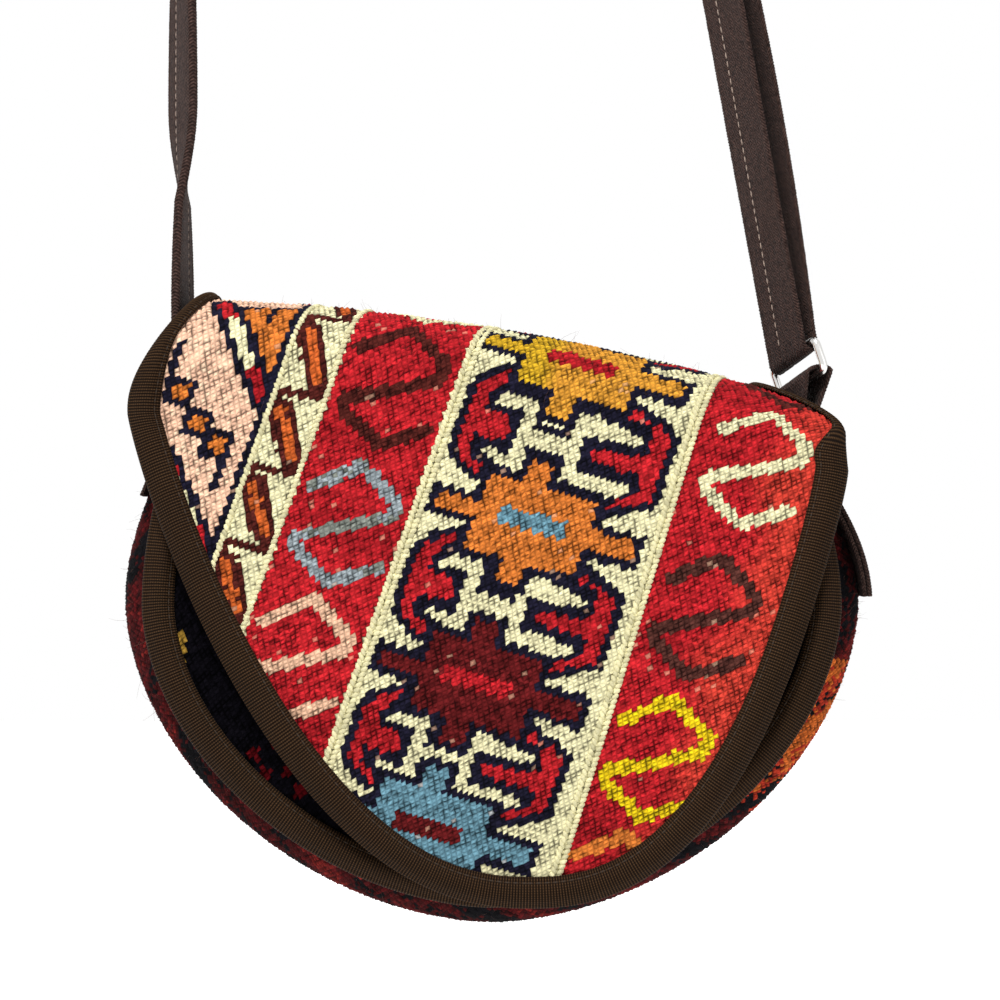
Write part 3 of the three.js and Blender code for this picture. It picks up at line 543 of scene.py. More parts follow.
CROSS_BLOCKS = [(-24, 24, -16, 17), (-42, -24, -2.5, 4), (24, 45, -4, 4.5),
                (-9, 1, -26, -16), (-7, 3, 17, 27.5)]
CLAW_LEFT = [(-29, -61), (-29, -57), (-32, -53), (-36, -49), (-35, -43), (-33, -42), (-26, -42), (-23, -40),
             (-22, -32), (-30, -30), (-37, -31), (-36, -24), (-34, -20), (-28, -20), (-29, -14), (-35, -17),
             (-41, -22), (-42, -27), (-42, -49), (-39, -54), (-34, -58)]
CLAW_RIGHT = [(26, -59), (25, -55), (34, -54), (36, -51), (38, -42), (31, -39), (21, -39), (13, -37),
              (14, -33), (24, -32), (35, -32), (38, -31), (39, -25), (32, -20), (27, -16), (28, -14),
              (37, -19), (45, -23), (45, -51), (39, -55), (33, -56), (28, -60)]
HORNS = [(-33, -46), (-29, -51), (-14, -52), (-13, -39), (4, -39), (1, -50), (12, -52), (32, -48), (34, -46),
         (31, -44), (9, -43), (10, -27), (26, -27), (35, -26), (34, -23), (27, -20), (5, -21), (3, -31),
         (-13, -31), (-12, -20), (-22, -20), (-32, -25), (-29, -26), (-19, -25), (-19, -46), (-32, -45)]
S_HOOK = [(-18, -10.6), (-0.8, -24.7), (18.6, -13.2), (17.6, -7.1),
          (-17.4, 10.8), (-16.4, 15), (2.2, 25.4), (19.9, 13.9)]
CROSS_PITCH, CLAW_PITCH, HOOK_PITCH, ZIGZAG_PITCH = 73.5, 74.5, 62.0, 34.8


def weave_cross(loom, u, w, colour, bar):
    for grow, tone in ((OUTLINE, NAVY), (0.15, colour)):
        for u0, u1, w0, w1 in CROSS_BLOCKS:
            loom.fill(loom.block(u + u0, u + u1, w + w0, w + w1, grow), tone)
    loom.fill(loom.block(u - 15, u + 14.5, w - 4, w + 3.4), bar)


def weave_claws(loom, u, w, pitch):
    """Two red claws and, between them, ivory horns."""
    shapes = (CLAW_LEFT, CLAW_RIGHT, HORNS)
    left, right, horns = ([(u + a, w + b * pitch / CLAW_PITCH) for a, b in shape] for shape in shapes)
    loom.outlined(horns, IVORY)
    loom.outlined(left, RED)
    loom.outlined(right, RED)
    loom.fill(loom.inside(horns), IVORY)


def weave_s_stripe(loom, left, right, middle, hooks):
    loom.stripe(left, right, RED)
    for w, tone in hooks:
        loom.line([(middle + HOOK_SCALE * a, w + HOOK_SCALE * b) for a, b in S_HOOK], HOOK_WIDTH, tone)


def weave_zigzag_stripe(loom, left):
    loom.stripe(left, left + ZIGZAG_WIDTH, IVORY)
    for row in range(-11, 7):
        top = -61.0 + ZIGZAG_PITCH * row
        loom.line([(left + 4, top + 1), (left + 22, top + 34)], 3.4, OAK)
        loom.line([(left + 7.5, top + 9), (left + 18, top + 27)], 10.6, OAK)
        loom.line([(left + 4, top + 1), (left + 22.5, top - 0.8)], 3.2, OAK)
        loom.line([(left + 7.5, top + 9), (left + 18, top + 27)], 4.6, RUST)


def weave_lattice_field(loom, left, right, w):
    """Pale field with a banded diagonal, a solid triangle and a chain of squares."""
    field = (loom.u > left) & (loom.u < right)
    before = loom.colour.copy()
    loom.outlined([(right - 25, w - 54.6), (right - 2, w - 62.4), (right - 2, w - 30)], ORANGE, width=1.5)
    loom.line([(right - 11, w - 60), (right - 11.2, w - 50)], 2.8, NAVY)
    for shift in (0, 72):
        start, end = (right - 33, w - 55 + shift), (right - 1, w - 19 + shift)
        loom.line([start, end], 11.5, NAVY)
        for share0, share1, tone in ((0, 0.24, RED), (0.24, 0.72, IVORY), (0.72, 1, RED)):
            cut = [tuple(mix(a, b, share) for a, b in zip(start, end)) for share in (share0, share1)]
            loom.line(cut, 5.2, tone)
    for du, dw in ((-36.7, -13), (-25, -2), (-14.2, 4.6)):
        middle_u, middle_w = right + du, w + dw
        loom.fill(loom.block(middle_u, middle_u, middle_w, middle_w, 6.3), NAVY)
        loom.fill(loom.block(middle_u, middle_u, middle_w, middle_w, 3.3), ORANGE)
    loom.line([(right - 42.8, w - 31), (right - 42.8, w - 17)], 3.2, NAVY)
    loom.line([(right - 9.2, w + 8), (right - 9.4, w + 23)], 3.2, NAVY)
    loom.colour[~field] = before[~field]


def flap_ground(u, w):
    loom = Loom(u, w, RED)
    loom.stripe(FIELD_LEFT, FIELD_RIGHT, SALMON)
    loom.stripe(IVORY_LEFT, ivory_edge(w), IVORY)
    for left in ZIGZAGS:
        loom.stripe(left, left + ZIGZAG_WIDTH, IVORY)
    return loom


def flap_relief(u, w):
    """1 on the motifs, which stand up from the ground of the stripes, and 0 off them."""
    return (np.abs(flap_pattern(u, w).colour - flap_ground(u, w).colour) > 1e-6).any(1)


def hook_rows(w, *tones, first=1):
    """Rows of hooks that go up from w, with the tones in turn."""
    return [(w - HOOK_PITCH * row, tones[row % len(tones)]) for row in range(first, 8)]


def flap_crosses():
    crosses = [(0.5, 137, SKY, MAROON), (0.2, 71.8, MAROON, RED), (0, 0, ORANGE, SKY)]
    tones = ((OCHRE, RED), (SKY, MAROON), (MAROON, RED), (ORANGE, SKY))
    return crosses + [(-2.7, -CLAW_PITCH - CROSS_PITCH * row, *tones[row % len(tones)]) for row in range(6)]


def flap_pattern(u, w):
    loom = Loom(u, w, RED)
    loom.stripe(FIELD_LEFT, FIELD_RIGHT, SALMON)
    for row in (0, -1, -2, -3):
        weave_lattice_field(loom, FIELD_LEFT, FIELD_RIGHT, FIELD_PITCH * row)
    weave_zigzag_stripe(loom, ZIGZAGS[1])
    loom.stripe(FIELD_RIGHT - 2, FIELD_RIGHT + 1.2, NAVY)
    weave_s_stripe(loom, -100.4, IVORY_LEFT, -76, [
        (-40.6, OAK), (22.1, SLATE), (82.6, SHELL), *hook_rows(-40.6, SLATE, IVORY, OAK, SHELL)])
    weave_s_stripe(loom, ivory_edge(w), ZIGZAGS[2], 82.3, [
        (-50.4, IVORY), (17.8, COCOA), (81.2, YELLOW), (142, ORANGE),
        *hook_rows(-50.4, SLATE, OAK, YELLOW, IVORY)])
    loom.stripe(IVORY_LEFT, ivory_edge(w), IVORY)
    crosses = flap_crosses()
    for lower, upper in zip(crosses, crosses[1:]):
        weave_claws(loom, lower[0], lower[1], lower[1] - upper[1])
    for each in crosses:
        weave_cross(loom, *each)
    weave_zigzag_stripe(loom, ZIGZAGS[2])
    weave_s_stripe(loom, -262, ZIGZAGS[0], -237, hook_rows(-40, YELLOW, SLATE, IVORY, OAK, first=-2))
    weave_zigzag_stripe(loom, ZIGZAGS[0])
    loom.stripe(FIELD_LEFT - 1.6, FIELD_LEFT + 1.6, NAVY)
    return loom


def abrash(loom, coral_from=CORAL_FROM):
    """Bands of lighter and darker dye, and the stray of single stitches."""
    u, w = loom.u, loom.w
    stray = np.random.default_rng(7)
    band = 0.5 + 0.5 * np.sin(w * 0.11 + 1.3 * np.sin(u * 0.031)) * np.cos(w * 0.043 + u * 0.017)

    def dye(yarn, share, other):
        dyed = (np.abs(loom.colour - np.array(yarn)).max(1) < 1e-6) * share
        loom.colour += dyed[:, None] * (np.array(other) - loom.colour)

    dye(SLATE, (band + 0.5 * stray.random(len(u)) > 0.85) * 0.8, MOSS)
    dye(OCHRE, smooth((-8 - u) / 12) * 0.8, OLIVE)
    reddish = np.abs(loom.colour - np.array(RED)).max(1) < 1e-6
    dye(RED, np.clip(band - 0.5, 0, 1), RED_DEEP)
    bright = 0.8 * smooth((u - coral_from + 14 * band) / 24) * reddish
    loom.colour += bright[:, None] * (np.array(CORAL) - loom.colour)
    spread = 0.26 - 0.23 * loom.colour.mean(1)
    loom.colour *= 1 + (spread * stray.standard_normal(len(u)).clip(-2, 2))[:, None]
    flecks = (stray.random(len(u)) < 0.010) & (loom.colour.sum(1) < 1.2) & (coral_from < NO_CORAL)
    loom.colour[flecks] += (0.35 * (np.array(SHELL) - loom.colour))[flecks]
    return loom.colour.clip(0, 1)


# Mesh makers; places closer than MEETING are one

MEETING = 1e-7


def piece(name, bm, finish):
    mesh = bpy.data.meshes.new(name)
    bm.to_mesh(mesh)
    bm.free()
    mesh.shade_smooth()
    mesh.materials.append(finish)
    made = bpy.data.objects.new(name, mesh)
    bpy.context.scene.collection.objects.link(made)
    return made


def grid(columns, rows):
    bm = bmesh.new()
    bmesh.ops.create_grid(bm, x_segments=columns, y_segments=rows, size=0.5)
    bmesh.ops.translate(bm, verts=bm.verts, vec=(0.5, 0.5, 0))
    return bm


def flat_places(bm):
    return np.array([v.co for v in bm.verts])


def set_places(bm, places):
    for vert, place in zip(bm.verts, places):
        vert.co = place


def read(items, field, width, kind=float):
    values = np.empty(len(items) * width, kind)
    items.foreach_get(field, values)
    return values.reshape(-1, width)


def face_outwards(mesh):
    """Turns a closed mesh round if its place in space has mirrored it."""
    solid = bmesh.new()
    solid.from_mesh(mesh)
    if solid.calc_volume(signed=True) < 0:
        mesh.flip_normals()
    solid.free()


def stitch_column(spots, reach):
    (u0, _), (w0, _) = reach
    return (spots[:, 0] - ROW_LEAN * spots[:, 1] - (u0 - ROW_LEAN * w0)) / WEFT_PITCH


def is_crown(spots, reach):
    half_rows = np.round((spots[:, 1] - reach[1][0]) / (ROW_PITCH / 2))
    return (np.round(stitch_column(spots, reach) * 2) + half_rows) % 2 == 0


def woven_sheet(keep, reach):
    """Flat closed sheet whose upper side has crowns and, joined round each of them, valleys.

    Gives its bmesh and the level between its two sides.
    """
    (u0, u1), (w0, w1) = reach
    p0, p1 = u0 - ROW_LEAN * w0, u1 - ROW_LEAN * w1
    columns, rows = math.ceil((p1 - p0) / WEFT_PITCH), math.ceil((w1 - w0) / ROW_PITCH)
    bm = grid(columns, rows)
    lines = np.round(flat_places(bm) * (columns, rows, 1))
    w = w0 + lines[:, 1] * ROW_PITCH
    set_places(bm, vec(p0 + lines[:, 0] * WEFT_PITCH + ROW_LEAN * w, w, 0))
    centres = np.array([face.calc_center_median() for face in bm.faces])
    wanted = keep(centres[:, 0], centres[:, 1])
    bmesh.ops.delete(bm, geom=[f for f, good in zip(bm.faces[:], wanted) if not good], context="FACES")
    bmesh.ops.recalc_face_normals(bm, faces=bm.faces)
    bmesh.ops.solidify(bm, geom=bm.faces[:], thickness=1.0)
    heights = [v.co.z for v in bm.verts]
    middle = (min(heights) + max(heights)) / 2
    top = [e for e in bm.edges if all(v.co.z > middle for v in e.verts)]
    bmesh.ops.subdivide_edges(bm, edges=top, cuts=1, use_grid_fill=True)
    spots = flat_places(bm)
    valley = (spots[:, 2] > middle) & ~is_crown(spots, reach)
    bmesh.ops.connect_verts(bm, verts=[v for v, low in zip(bm.verts, valley) if low])
    return bm, middle


def dye_stitches(mesh, spots, peak, colours, reach):
    """One colour for each stitch, which is the ring of triangles round a peak, and for each other face."""
    centres = read(mesh.polygons, "center", 3)
    starts, sizes = (read(mesh.polygons, field, 1, int)[:, 0] for field in ("loop_start", "loop_total"))
    corners = read(mesh.loops, "vertex_index", 1, int)[:, 0][starts[:, None] + np.arange(3)]
    peaks = peak[corners] & (sizes == 3)[:, None]
    stitch = np.where(peaks.sum(1) == 1, corners[np.arange(len(corners)), peaks.argmax(1)], -1)
    sewn, ground = np.unique(stitch[stitch >= 0]), np.flatnonzero(stitch < 0)
    places = np.concatenate([spots[sewn], centres[ground]])
    odd_column = np.floor(stitch_column(places, reach)) % 2
    tones = colours(places[:, 0], places[:, 1] + SCALLOP * odd_column)
    index = np.searchsorted(sewn, stitch)
    index[ground] = len(sewn) + np.arange(len(ground))
    set_yarn(mesh, tones[index])


def set_yarn(mesh, tones):
    painted = np.concatenate([tones, np.ones((len(tones), 1))], 1)
    yarn = mesh.attributes.new("yarn", "FLOAT_COLOR", "FACE")
    yarn.data.foreach_set("color", painted.astype(np.float32).ravel())


# Painted shade between stitches and painted highlight on their crowns, carried to the wool finish
def set_painted_stitch_shade(mesh, painted_shade_level):
    painted_stitch_shade = mesh.attributes.new("painted_stitch_shade", "FLOAT", "POINT")
    painted_stitch_shade.data.foreach_set("value", painted_shade_level.astype(np.float32))


def kilim_cloth(name, keep, place, colours, reach, relief=None, finish=WOOL):
    """Closed cloth of raised stitches: keep tests flat places, place puts (u, w, height) in space."""
    bm, middle = woven_sheet(keep, reach)
    made = piece(name, bm, finish)
    mesh = made.data
    spots = read(mesh.vertices, "co", 3)
    upper, crown = spots[:, 2] > middle, is_crown(spots, reach)
    stray = np.random.default_rng(11).standard_normal((len(spots), 3)).clip(-2, 2) * upper[:, None]
    pit = (np.random.default_rng(13).random(len(spots)) < PIT_SHARE) & ~crown
    bumps = np.where(crown, GRAIN_RISE, np.where(pit, GRAIN_PIT, GRAIN_DIP))
    height = np.where(upper, KILIM / 2 + bumps, -KILIM / 2) + stray[:, 2] * GRAIN_STRAY
    if relief:
        height += MOTIF_RISE * relief(spots[:, 0], spots[:, 1]) * upper
    # Painted stitch light and shade: 1 on each crown, which gets a painted highlight, lower in the valleys
    # and 0 in the pits, the darkest painted shade between stitches
    painted_shade_level = np.where(crown, 1.0, np.where(pit, 0.0, DIP_SHADE)) + 0.08 * stray[:, 1]
    set_painted_stitch_shade(mesh, painted_shade_level.clip(0, 1.2))
    dye_stitches(mesh, spots, crown & upper, colours, reach)
    spots = spots + stray * PLACE_STRAY
    mesh.vertices.foreach_set("co", placed(place(spots[:, 0], spots[:, 1], height)).ravel())
    mesh.update()
    face_outwards(mesh)
    return made


def strip(name, places, size, finish, joined=True, caps=None):
    """Skin over a table of places, rows by columns, with a UV map of that length and girth in metres.

    Edges that meet are joined, and caps closes the ends: both of them, or the low one.
    """
    rows, columns = places.shape[0] - 1, places.shape[1] - 1
    length, around = size
    if np.isscalar(around):
        around = np.linspace(0, around, columns + 1)
    bm = grid(rows, columns)
    uv = bm.loops.layers.uv.new("UVMap")
    for face in bm.faces:
        for loop in face.loops:
            loop[uv].uv = (loop.vert.co.x * length, around[round(loop.vert.co.y * columns)])
    index = np.round(flat_places(bm)[:, :2] * (rows, columns)).astype(int)
    set_places(bm, placed(places[index[:, 0], index[:, 1]]))
    if joined:
        bmesh.ops.remove_doubles(bm, verts=[v for v in bm.verts if v.is_boundary], dist=MEETING)
    if caps:
        ends = [e for e in bm.edges if e.is_boundary]
        if caps == "low":
            level = min(v.co.z for v in bm.verts) + 4 * MM
            ends = [e for e in ends if max(v.co.z for v in e.verts) < level]
        bmesh.ops.holes_fill(bm, edges=ends, sides=0)
    bmesh.ops.recalc_face_normals(bm, faces=bm.faces)
    return piece(name, bm, finish)


def girth(section):
    """Lengths round a section, in metres."""
    return np.concatenate([[0], np.cumsum(np.linalg.norm(np.diff(section[:, :2], axis=0), axis=1))]) * MM


def thicken(made, thickness):
    shell = made.modifiers.new("cloth", "SOLIDIFY")
    shell.thickness, shell.offset = thickness * MM, 0


def even(points, step):
    """Shares along a line of points that step evenly, as places in its list."""
    length = np.concatenate([[0], np.cumsum(np.linalg.norm(np.diff(points, axis=0), axis=1))])
    count = 2 * max(1, round(length[-1] / step / 2))
    return np.interp(np.linspace(0, length[-1], count + 1), length, np.arange(len(points))), length[-1]


def pick(rows, at):
    return np.stack([np.interp(at, np.arange(len(rows)), rows[:, i]) for i in range(rows.shape[1])], 1)


def stitches(name, spots, forwards, ups, length, thick, finish):
    """Small rounded stitches, made in lots because adding to a small mesh is quicker."""
    whole, lot = bmesh.new(), bmesh.new()
    sewn = bpy.data.meshes.new(name + "_lot")
    for number, (spot, forward, up) in enumerate(zip(spots, unit(forwards), unit(ups)), 1):
        side = np.cross(up, forward)
        turn = Matrix((side * thick / 2, up * thick / 2, forward * length / 2)).transposed().to_4x4()
        shape = Matrix.Translation(Vector(placed(spot))) @ Matrix.Scale(MM, 4) @ turn
        bmesh.ops.create_uvsphere(lot, u_segments=6, v_segments=5, radius=1, matrix=shape)
        if number % STITCHES_IN_LOT == 0 or number == len(spots):
            lot.to_mesh(sewn)
            whole.from_mesh(sewn)
            lot.clear()
    lot.free()
    bpy.data.meshes.remove(sewn)
    return piece(name, whole, finish)


def fuzz(name, surface, roots, seed):
    """Loose wool hairs, three-sided and thinner to the tip, that stand out of a cloth."""
    count, rings = len(roots), HAIR_RINGS
    stray = np.random.default_rng(seed)
    foot = surface(*roots.T, np.full(count, KILIM / 2))
    up = unit(surface(*roots.T, np.full(count, KILIM / 2 + 1)) - foot)
    aim = unit(up + 0.75 * stray.standard_normal((count, 3)).clip(-1.5, 1.5))
    curl = 0.8 * stray.standard_normal((count, 3)).clip(-1.5, 1.5)
    length = (HAIR_SHORT + HAIR_LONGER * stray.random(count) ** 2.5)[:, None, None]
    reach = np.linspace(0, 1, rings)[None, :, None]
    line = foot[:, None] + length * (reach * aim[:, None] + reach ** 2 * curl[:, None] / 2)
    side = unit(np.cross(aim, unit(curl)))
    other = np.cross(aim, side)
    turn = np.linspace(0, 2 * math.pi, 4)
    ring = np.cos(turn)[None, :, None] * side[:, None] + np.sin(turn)[None, :, None] * other[:, None]
    places = line[:, :, None] + (HAIR_RADIUS - HAIR_TAPER * reach[..., None]) * ring[:, None]
    rows = count * rings - 1
    bm = grid(3, rows)
    index = np.round(flat_places(bm)[:, :2] * (3, rows)).astype(int)
    gaps = [face for face in bm.faces if int(face.calc_center_median().y * rows) % rings == rings - 1]
    set_places(bm, placed(places.reshape(-1, 4, 3)[index[:, 1], index[:, 0]]))
    bmesh.ops.delete(bm, geom=gaps, context="FACES")
    bmesh.ops.remove_doubles(bm, verts=bm.verts, dist=MEETING)
    bmesh.ops.holes_fill(bm, edges=bm.edges, sides=3)
    bmesh.ops.recalc_face_normals(bm, faces=bm.faces)
    return piece(name, bm, DOWN)


# Flap and back cloth

def along_cloth(x, z):
    """Length along the cloth's pattern from a hanging height, carried on over the fold."""
    s = z.copy()
    for _ in range(40):
        s = z + droop(x, s)
    at_arch = arch_z - droop(x, np.full_like(x, arch_z))
    return np.where(z < at_arch, s, arch_z + z - at_arch)


def flap_flat(u, w):
    x, z = from_kilim(u, w)
    return x, along_cloth(x, z)


def flap_keep(u, w):
    x, s = flap_flat(u, w)
    off = x - flap_middle(s)
    inside = np.abs(off) < flap_half(s, np.sign(off)) - FLAP_TUCK
    return inside & (s > FLAP_TIP_Z + FLAP_TUCK) & (s < back_bottom - FLAP_TUCK)


def flap_place(u, w, height):
    return lift_flap(*flap_flat(u, w), height)


FLAP_REACH = ((-290, 140), (-420, 190))
flap = kilim_cloth("flap_and_back_cloth", flap_keep, flap_place, lambda u, w: abrash(flap_pattern(u, w)),
                   FLAP_REACH, flap_relief)


def warp_chain(edge, side):
    """Places and directions of slanted ivory stitches down one edge of a stripe."""
    w = np.arange(*FLAP_REACH[1], CHAIN_PITCH)
    u = edge(w) if callable(edge) else np.full_like(w, edge)
    kept = flap_keep(u - 4, w) & flap_keep(u + 4, w)
    u, w = u[kept], w[kept]
    spots = flap_place(u, w, np.full_like(u, KILIM / 2 + CHAIN_RISE))
    ups = spots - flap_place(u, w, np.zeros_like(u))
    forwards = flap_place(u + 0.5 * side, w + 0.62, np.full_like(u, KILIM / 2 + CHAIN_RISE)) - spots
    return spots, forwards, ups


def warp_chains():
    edges = [(-123.0, 1), (-101.6, -1), (-49.7, 1), (-46.9, -1),
             (ivory_edge, -1), (lambda w: ivory_edge(w) - 2.8, 1),
             (122.4, 1), (145.0, -1), (-210.8, 1), (-188.4, -1)]
    parts = [np.concatenate(part) for part in zip(*(warp_chain(*edge) for edge in edges))]
    made = stitches("ivory_warp_chains", *parts, CHAIN_LENGTH, CHAIN_THICK, WOOL)
    mesh = made.data
    faces = len(mesh.polygons) // len(parts[0])
    tone = 1 + 0.12 * np.random.default_rng(3).standard_normal(len(parts[0])).clip(-2, 2)
    set_yarn(mesh, np.outer(tone, IVORY).repeat(faces, 0))
    # The chain stitches take one level of painted shade all over
    set_painted_stitch_shade(mesh, np.full(len(mesh.vertices), CHAIN_SHADE))
    return made


flap_chains = warp_chains()
scatter = np.random.default_rng(17)
fold_roots = np.stack([
    scatter.uniform(-100, 100, FLAP_HAIRS), scatter.uniform(arch_z - 20, back_start, FLAP_HAIRS)], 1)
flap_fuzz = fuzz("flap_fuzz", lift_flap, fold_roots, 19)


# Tapes

def tape_section(slot_low, slot_high):
    """Ring of (inset, height, rib share, roll) round the folded tape, from its inner edge over the top."""
    top, under = slot_high + TAPE, slot_low - TAPE
    middle, half = (top + under) / 2, (top - under) / 2
    leg = [(TAPE_LEG, slot_high + 0.1, 0, 0), (TAPE_LEG - 0.1, top - 0.25, 0.4, 0)]
    for a in (0.6, 1.4, SEAM_INSET, 3.0, 4.2, 5.6, 7.0, 8.4, 9.8, 11.0):
        groove = 0.25 * math.exp(-((a - SEAM_INSET) / 0.9) ** 2)
        leg.append((TAPE_LEG - a, top - groove, 1, math.sin(math.pi * a / TAPE_LEG)))
    bend = [(1.2 - 3.4 * math.sin(turn), middle + half * math.cos(turn), 1, 0)
            for turn in np.linspace(0.25, math.pi - 0.25, 8)]
    low = [(a, under, 1, 0) for a in (3.0, 7.5, TAPE_LEG - 0.6)] + [(TAPE_LEG, slot_low - 0.1, 0, 0)]
    inner = [(a, height, 0, 0) for a, height in (
        (8.0, slot_low), (-TAPE_BEND, slot_low), (-TAPE_BEND, slot_high), (8.0, slot_high))]
    ring = leg + bend + low + inner
    return np.array(ring + ring[:1])


def tape(name, surface, edges, inwards, slot_low, slot_high, closed):
    edges, inwards = np.asarray(edges), np.asarray(inwards)
    at, _ = even(surface(edges[:, 0], edges[:, 1], np.zeros(len(edges))), RIB_PITCH / 2)
    edges, inwards = pick(edges, at), pick(inwards, at)
    section = tape_section(slot_low, slot_high)
    spot = edges[:, None, :] + inwards[:, None, :] * section[None, :, 0, None]
    rib = np.where(np.arange(len(at)) % 2, RIB_RISE, -RIB_RISE)
    height = section[None, :, 1] + rib[:, None] * section[None, :, 2] * np.sign(section[None, :, 1])
    height = height + TAPE_ROLL * section[None, :, 3] * np.linalg.norm(inwards, axis=1)[:, None]
    places = surface(spot[..., 0], spot[..., 1], height)
    if closed:
        places[-1] = places[0]
    size = ((len(at) - 1) * RIB_PITCH / 2 * MM, girth(section))
    made = strip(name, places, size, TAPE_CLOTH, caps=None if closed else "both")
    every = round(STITCH_PITCH / (RIB_PITCH / 2))
    groove = np.argmin(np.abs(section[:10, 0] - TAPE_LEG + SEAM_INSET))
    seam = places[:-1:every, groove]
    ups = seam - surface(*spot[:-1:every, groove].T, np.zeros(len(seam)))
    forwards = np.roll(seam, -1, 0) - np.roll(seam, 1, 0)
    inner = slice(None) if closed else slice(1, -1)
    sewn = stitches(name.replace("tape", "stitching"), seam[inner] + 0.15 * unit(ups)[inner], forwards[inner],
                    ups[inner], STITCH_LENGTH, TAPE_THREAD, BROWN_THREAD)
    return made, sewn


def flap_edge_line():
    turn = np.linspace(0, math.pi / 2, 160)
    low = SHOULDER_Z - (SHOULDER_Z - FLAP_TIP_Z) * np.cos(turn) ** (2 / FLAP_TAPER)
    high = WIDEST_Z - (WIDEST_Z - panel_bottom) * np.cos(turn) ** (2 / PANEL_TAPER)
    between = np.linspace(SHOULDER_Z, back_widest, 400)[1:-1]
    rows = np.concatenate([low, between, (back_start + arch_z - high)[::-1]])
    halves = [side * flap_half(rows, np.full_like(rows, side)) for side in (1, -1)]
    sides = [np.stack([flap_middle(rows) + half, rows], 1) for half in halves]
    line = np.concatenate([sides[0], sides[1][::-1][1:-1]])
    step = np.roll(line, -3, 0) - np.roll(line, 3, 0)
    square = unit(np.stack([-step[:, 1], step[:, 0]], 1))
    level = np.stack([-np.sign(line[:, 0]), np.zeros(len(line))], 1)
    fold = smooth((line[:, 1] - SHOULDER_Z + 14) / 20) * smooth((back_mouth + 14 - line[:, 1]) / 20)
    inward = unit(mix(square, level, fold[:, None]))
    over = smooth((line[:, 1] - SHOULDER_Z - 6) / 30) * smooth((back_start + 10 - line[:, 1]) / 30)
    inward *= (1 - np.where(line[:, 0] < 0, NARROW_LEFT, NARROW_RIGHT) * over)[:, None]
    return np.concatenate([line, line[:1]]), np.concatenate([inward, inward[:1]])


flap_slot = (-KILIM / 2 - LINING - 2 * TAPE_SLACK, KILIM / 2 + TAPE_SLACK)
front_slot = (-KILIM / 2 - TAPE_SLACK, KILIM / 2 + TAPE_SLACK)
flap_tape, flap_stitching = tape("flap_tape", lift_flap, *flap_edge_line(), *flap_slot, True)
outline = np.linspace(-1, 1, 600)
front_tape, front_stitching = tape(
    "front_tape", lift_front, panel_edge(outline), panel_inward(outline), *front_slot, False)
mouth_half = float(panel_half(np.float64(MOUTH_Z))) - TAPE_LEG - 2 * SEAT_GAP
mouth_x = np.linspace(mouth_half, -mouth_half, 60)
mouth_line = np.stack([mouth_x, np.full_like(mouth_x, MOUTH_Z)], 1)
mouth_inward = np.tile([0.0, -1.0], (len(mouth_x), 1))
mouth_tape, mouth_stitching = tape("mouth_tape", lift_front, mouth_line, mouth_inward, *front_slot, False)


# Front panel and gusset

def front_keep(x, down):
    z = MOUTH_Z - down
    inside = np.abs(x) < panel_half(z) - FRONT_TUCK
    return inside & (z > panel_bottom + FRONT_TUCK) & (z < MOUTH_Z - MOUTH_TUCK)


def front_place(x, down, height):
    return lift_front(x, MOUTH_Z - down, height)


def front_pattern(x, down):
    """Black with dark red flowers and one gold patch at the left edge. The black ground is the panel's dark
    navy darkened to near black, painted shade from the flap above it.
    """
    loom = Loom(x, down, SOOT)
    for column in range(-1, 3):
        for row in range(0, 3):
            middle = (56.0 * column - 36 + 28 * (row % 2), 26.0 + 62.0 * row)
            for a, b in ((-10, -8), (0, -14), (10, -8), (-5, 0), (5, 0), (-10, 8), (0, 14), (10, 8)):
                loom.fill(loom.block(middle[0] + a, middle[0] + a, middle[1] + b, middle[1] + b, 2.6), WINE)
    loom.fill(loom.block(-148, -131.5, 90, 107), GOLD)
    return abrash(loom, NO_CORAL)


front = kilim_cloth("front_panel_cloth", front_keep, front_place, front_pattern, ((-150, 150), (0, 206)),
                    finish=DARK_WOOL)

gusset_k = np.linspace(-1, 1, 1200)
gusset_line = gusset_surface(np.zeros_like(gusset_k), gusset_k)
gusset_run = np.concatenate([[0], np.cumsum(np.linalg.norm(np.diff(gusset_line, axis=0), axis=1))])
gusset_length = gusset_run[-1]
GUSSET_WIDTH, BRIGHT_FROM, BRIGHT_TO = 66.0, 175, 95


def gusset_keep(run, across):
    return (run > 1) & (run < gusset_length - 1) & (np.abs(across) < GUSSET_WIDTH / 2 - 1)


def gusset_place(run, across, height):
    t = np.clip(-across / (GUSSET_WIDTH / 2), -1, 1)
    return lift_gusset(t, np.interp(run, gusset_run, gusset_k), height)


def gusset_pattern(run, across):
    """Mottled dark red with one bright stretch."""
    loom = Loom(run, across, PLUM)
    patch = np.sin(run * 0.09 + 2 * np.sin(across * 0.11)) * np.sin(run * 0.041 + 1.1)
    patch += 0.5 * np.sin(across * 0.3 + run * 0.2)
    patch += 0.35 * np.random.default_rng(2).standard_normal(len(run))
    loom.fill(patch > 0.35, CLARET)
    loom.fill(patch > 1.0, GARNET)
    loom.fill(patch < -0.45, SOOT)
    bright = (run > gusset_length - BRIGHT_FROM) & (run < gusset_length - BRIGHT_TO)
    loom.fill(bright & (patch > -0.5), EMBER)
    loom.fill(bright & (patch > 0.2), FLAME)
    return abrash(loom, NO_CORAL)


gusset = kilim_cloth("gusset_cloth", gusset_keep, gusset_place, gusset_pattern,
                     ((0, gusset_length), (-34, 34)))
gusset_roots = np.stack([
    scatter.uniform(-0.75, 0.75, GUSSET_HAIRS), scatter.uniform(-0.98, 0.98, GUSSET_HAIRS)], 1)
gusset_fuzz = fuzz("gusset_fuzz", lift_gusset, gusset_roots, 23)


# Linings

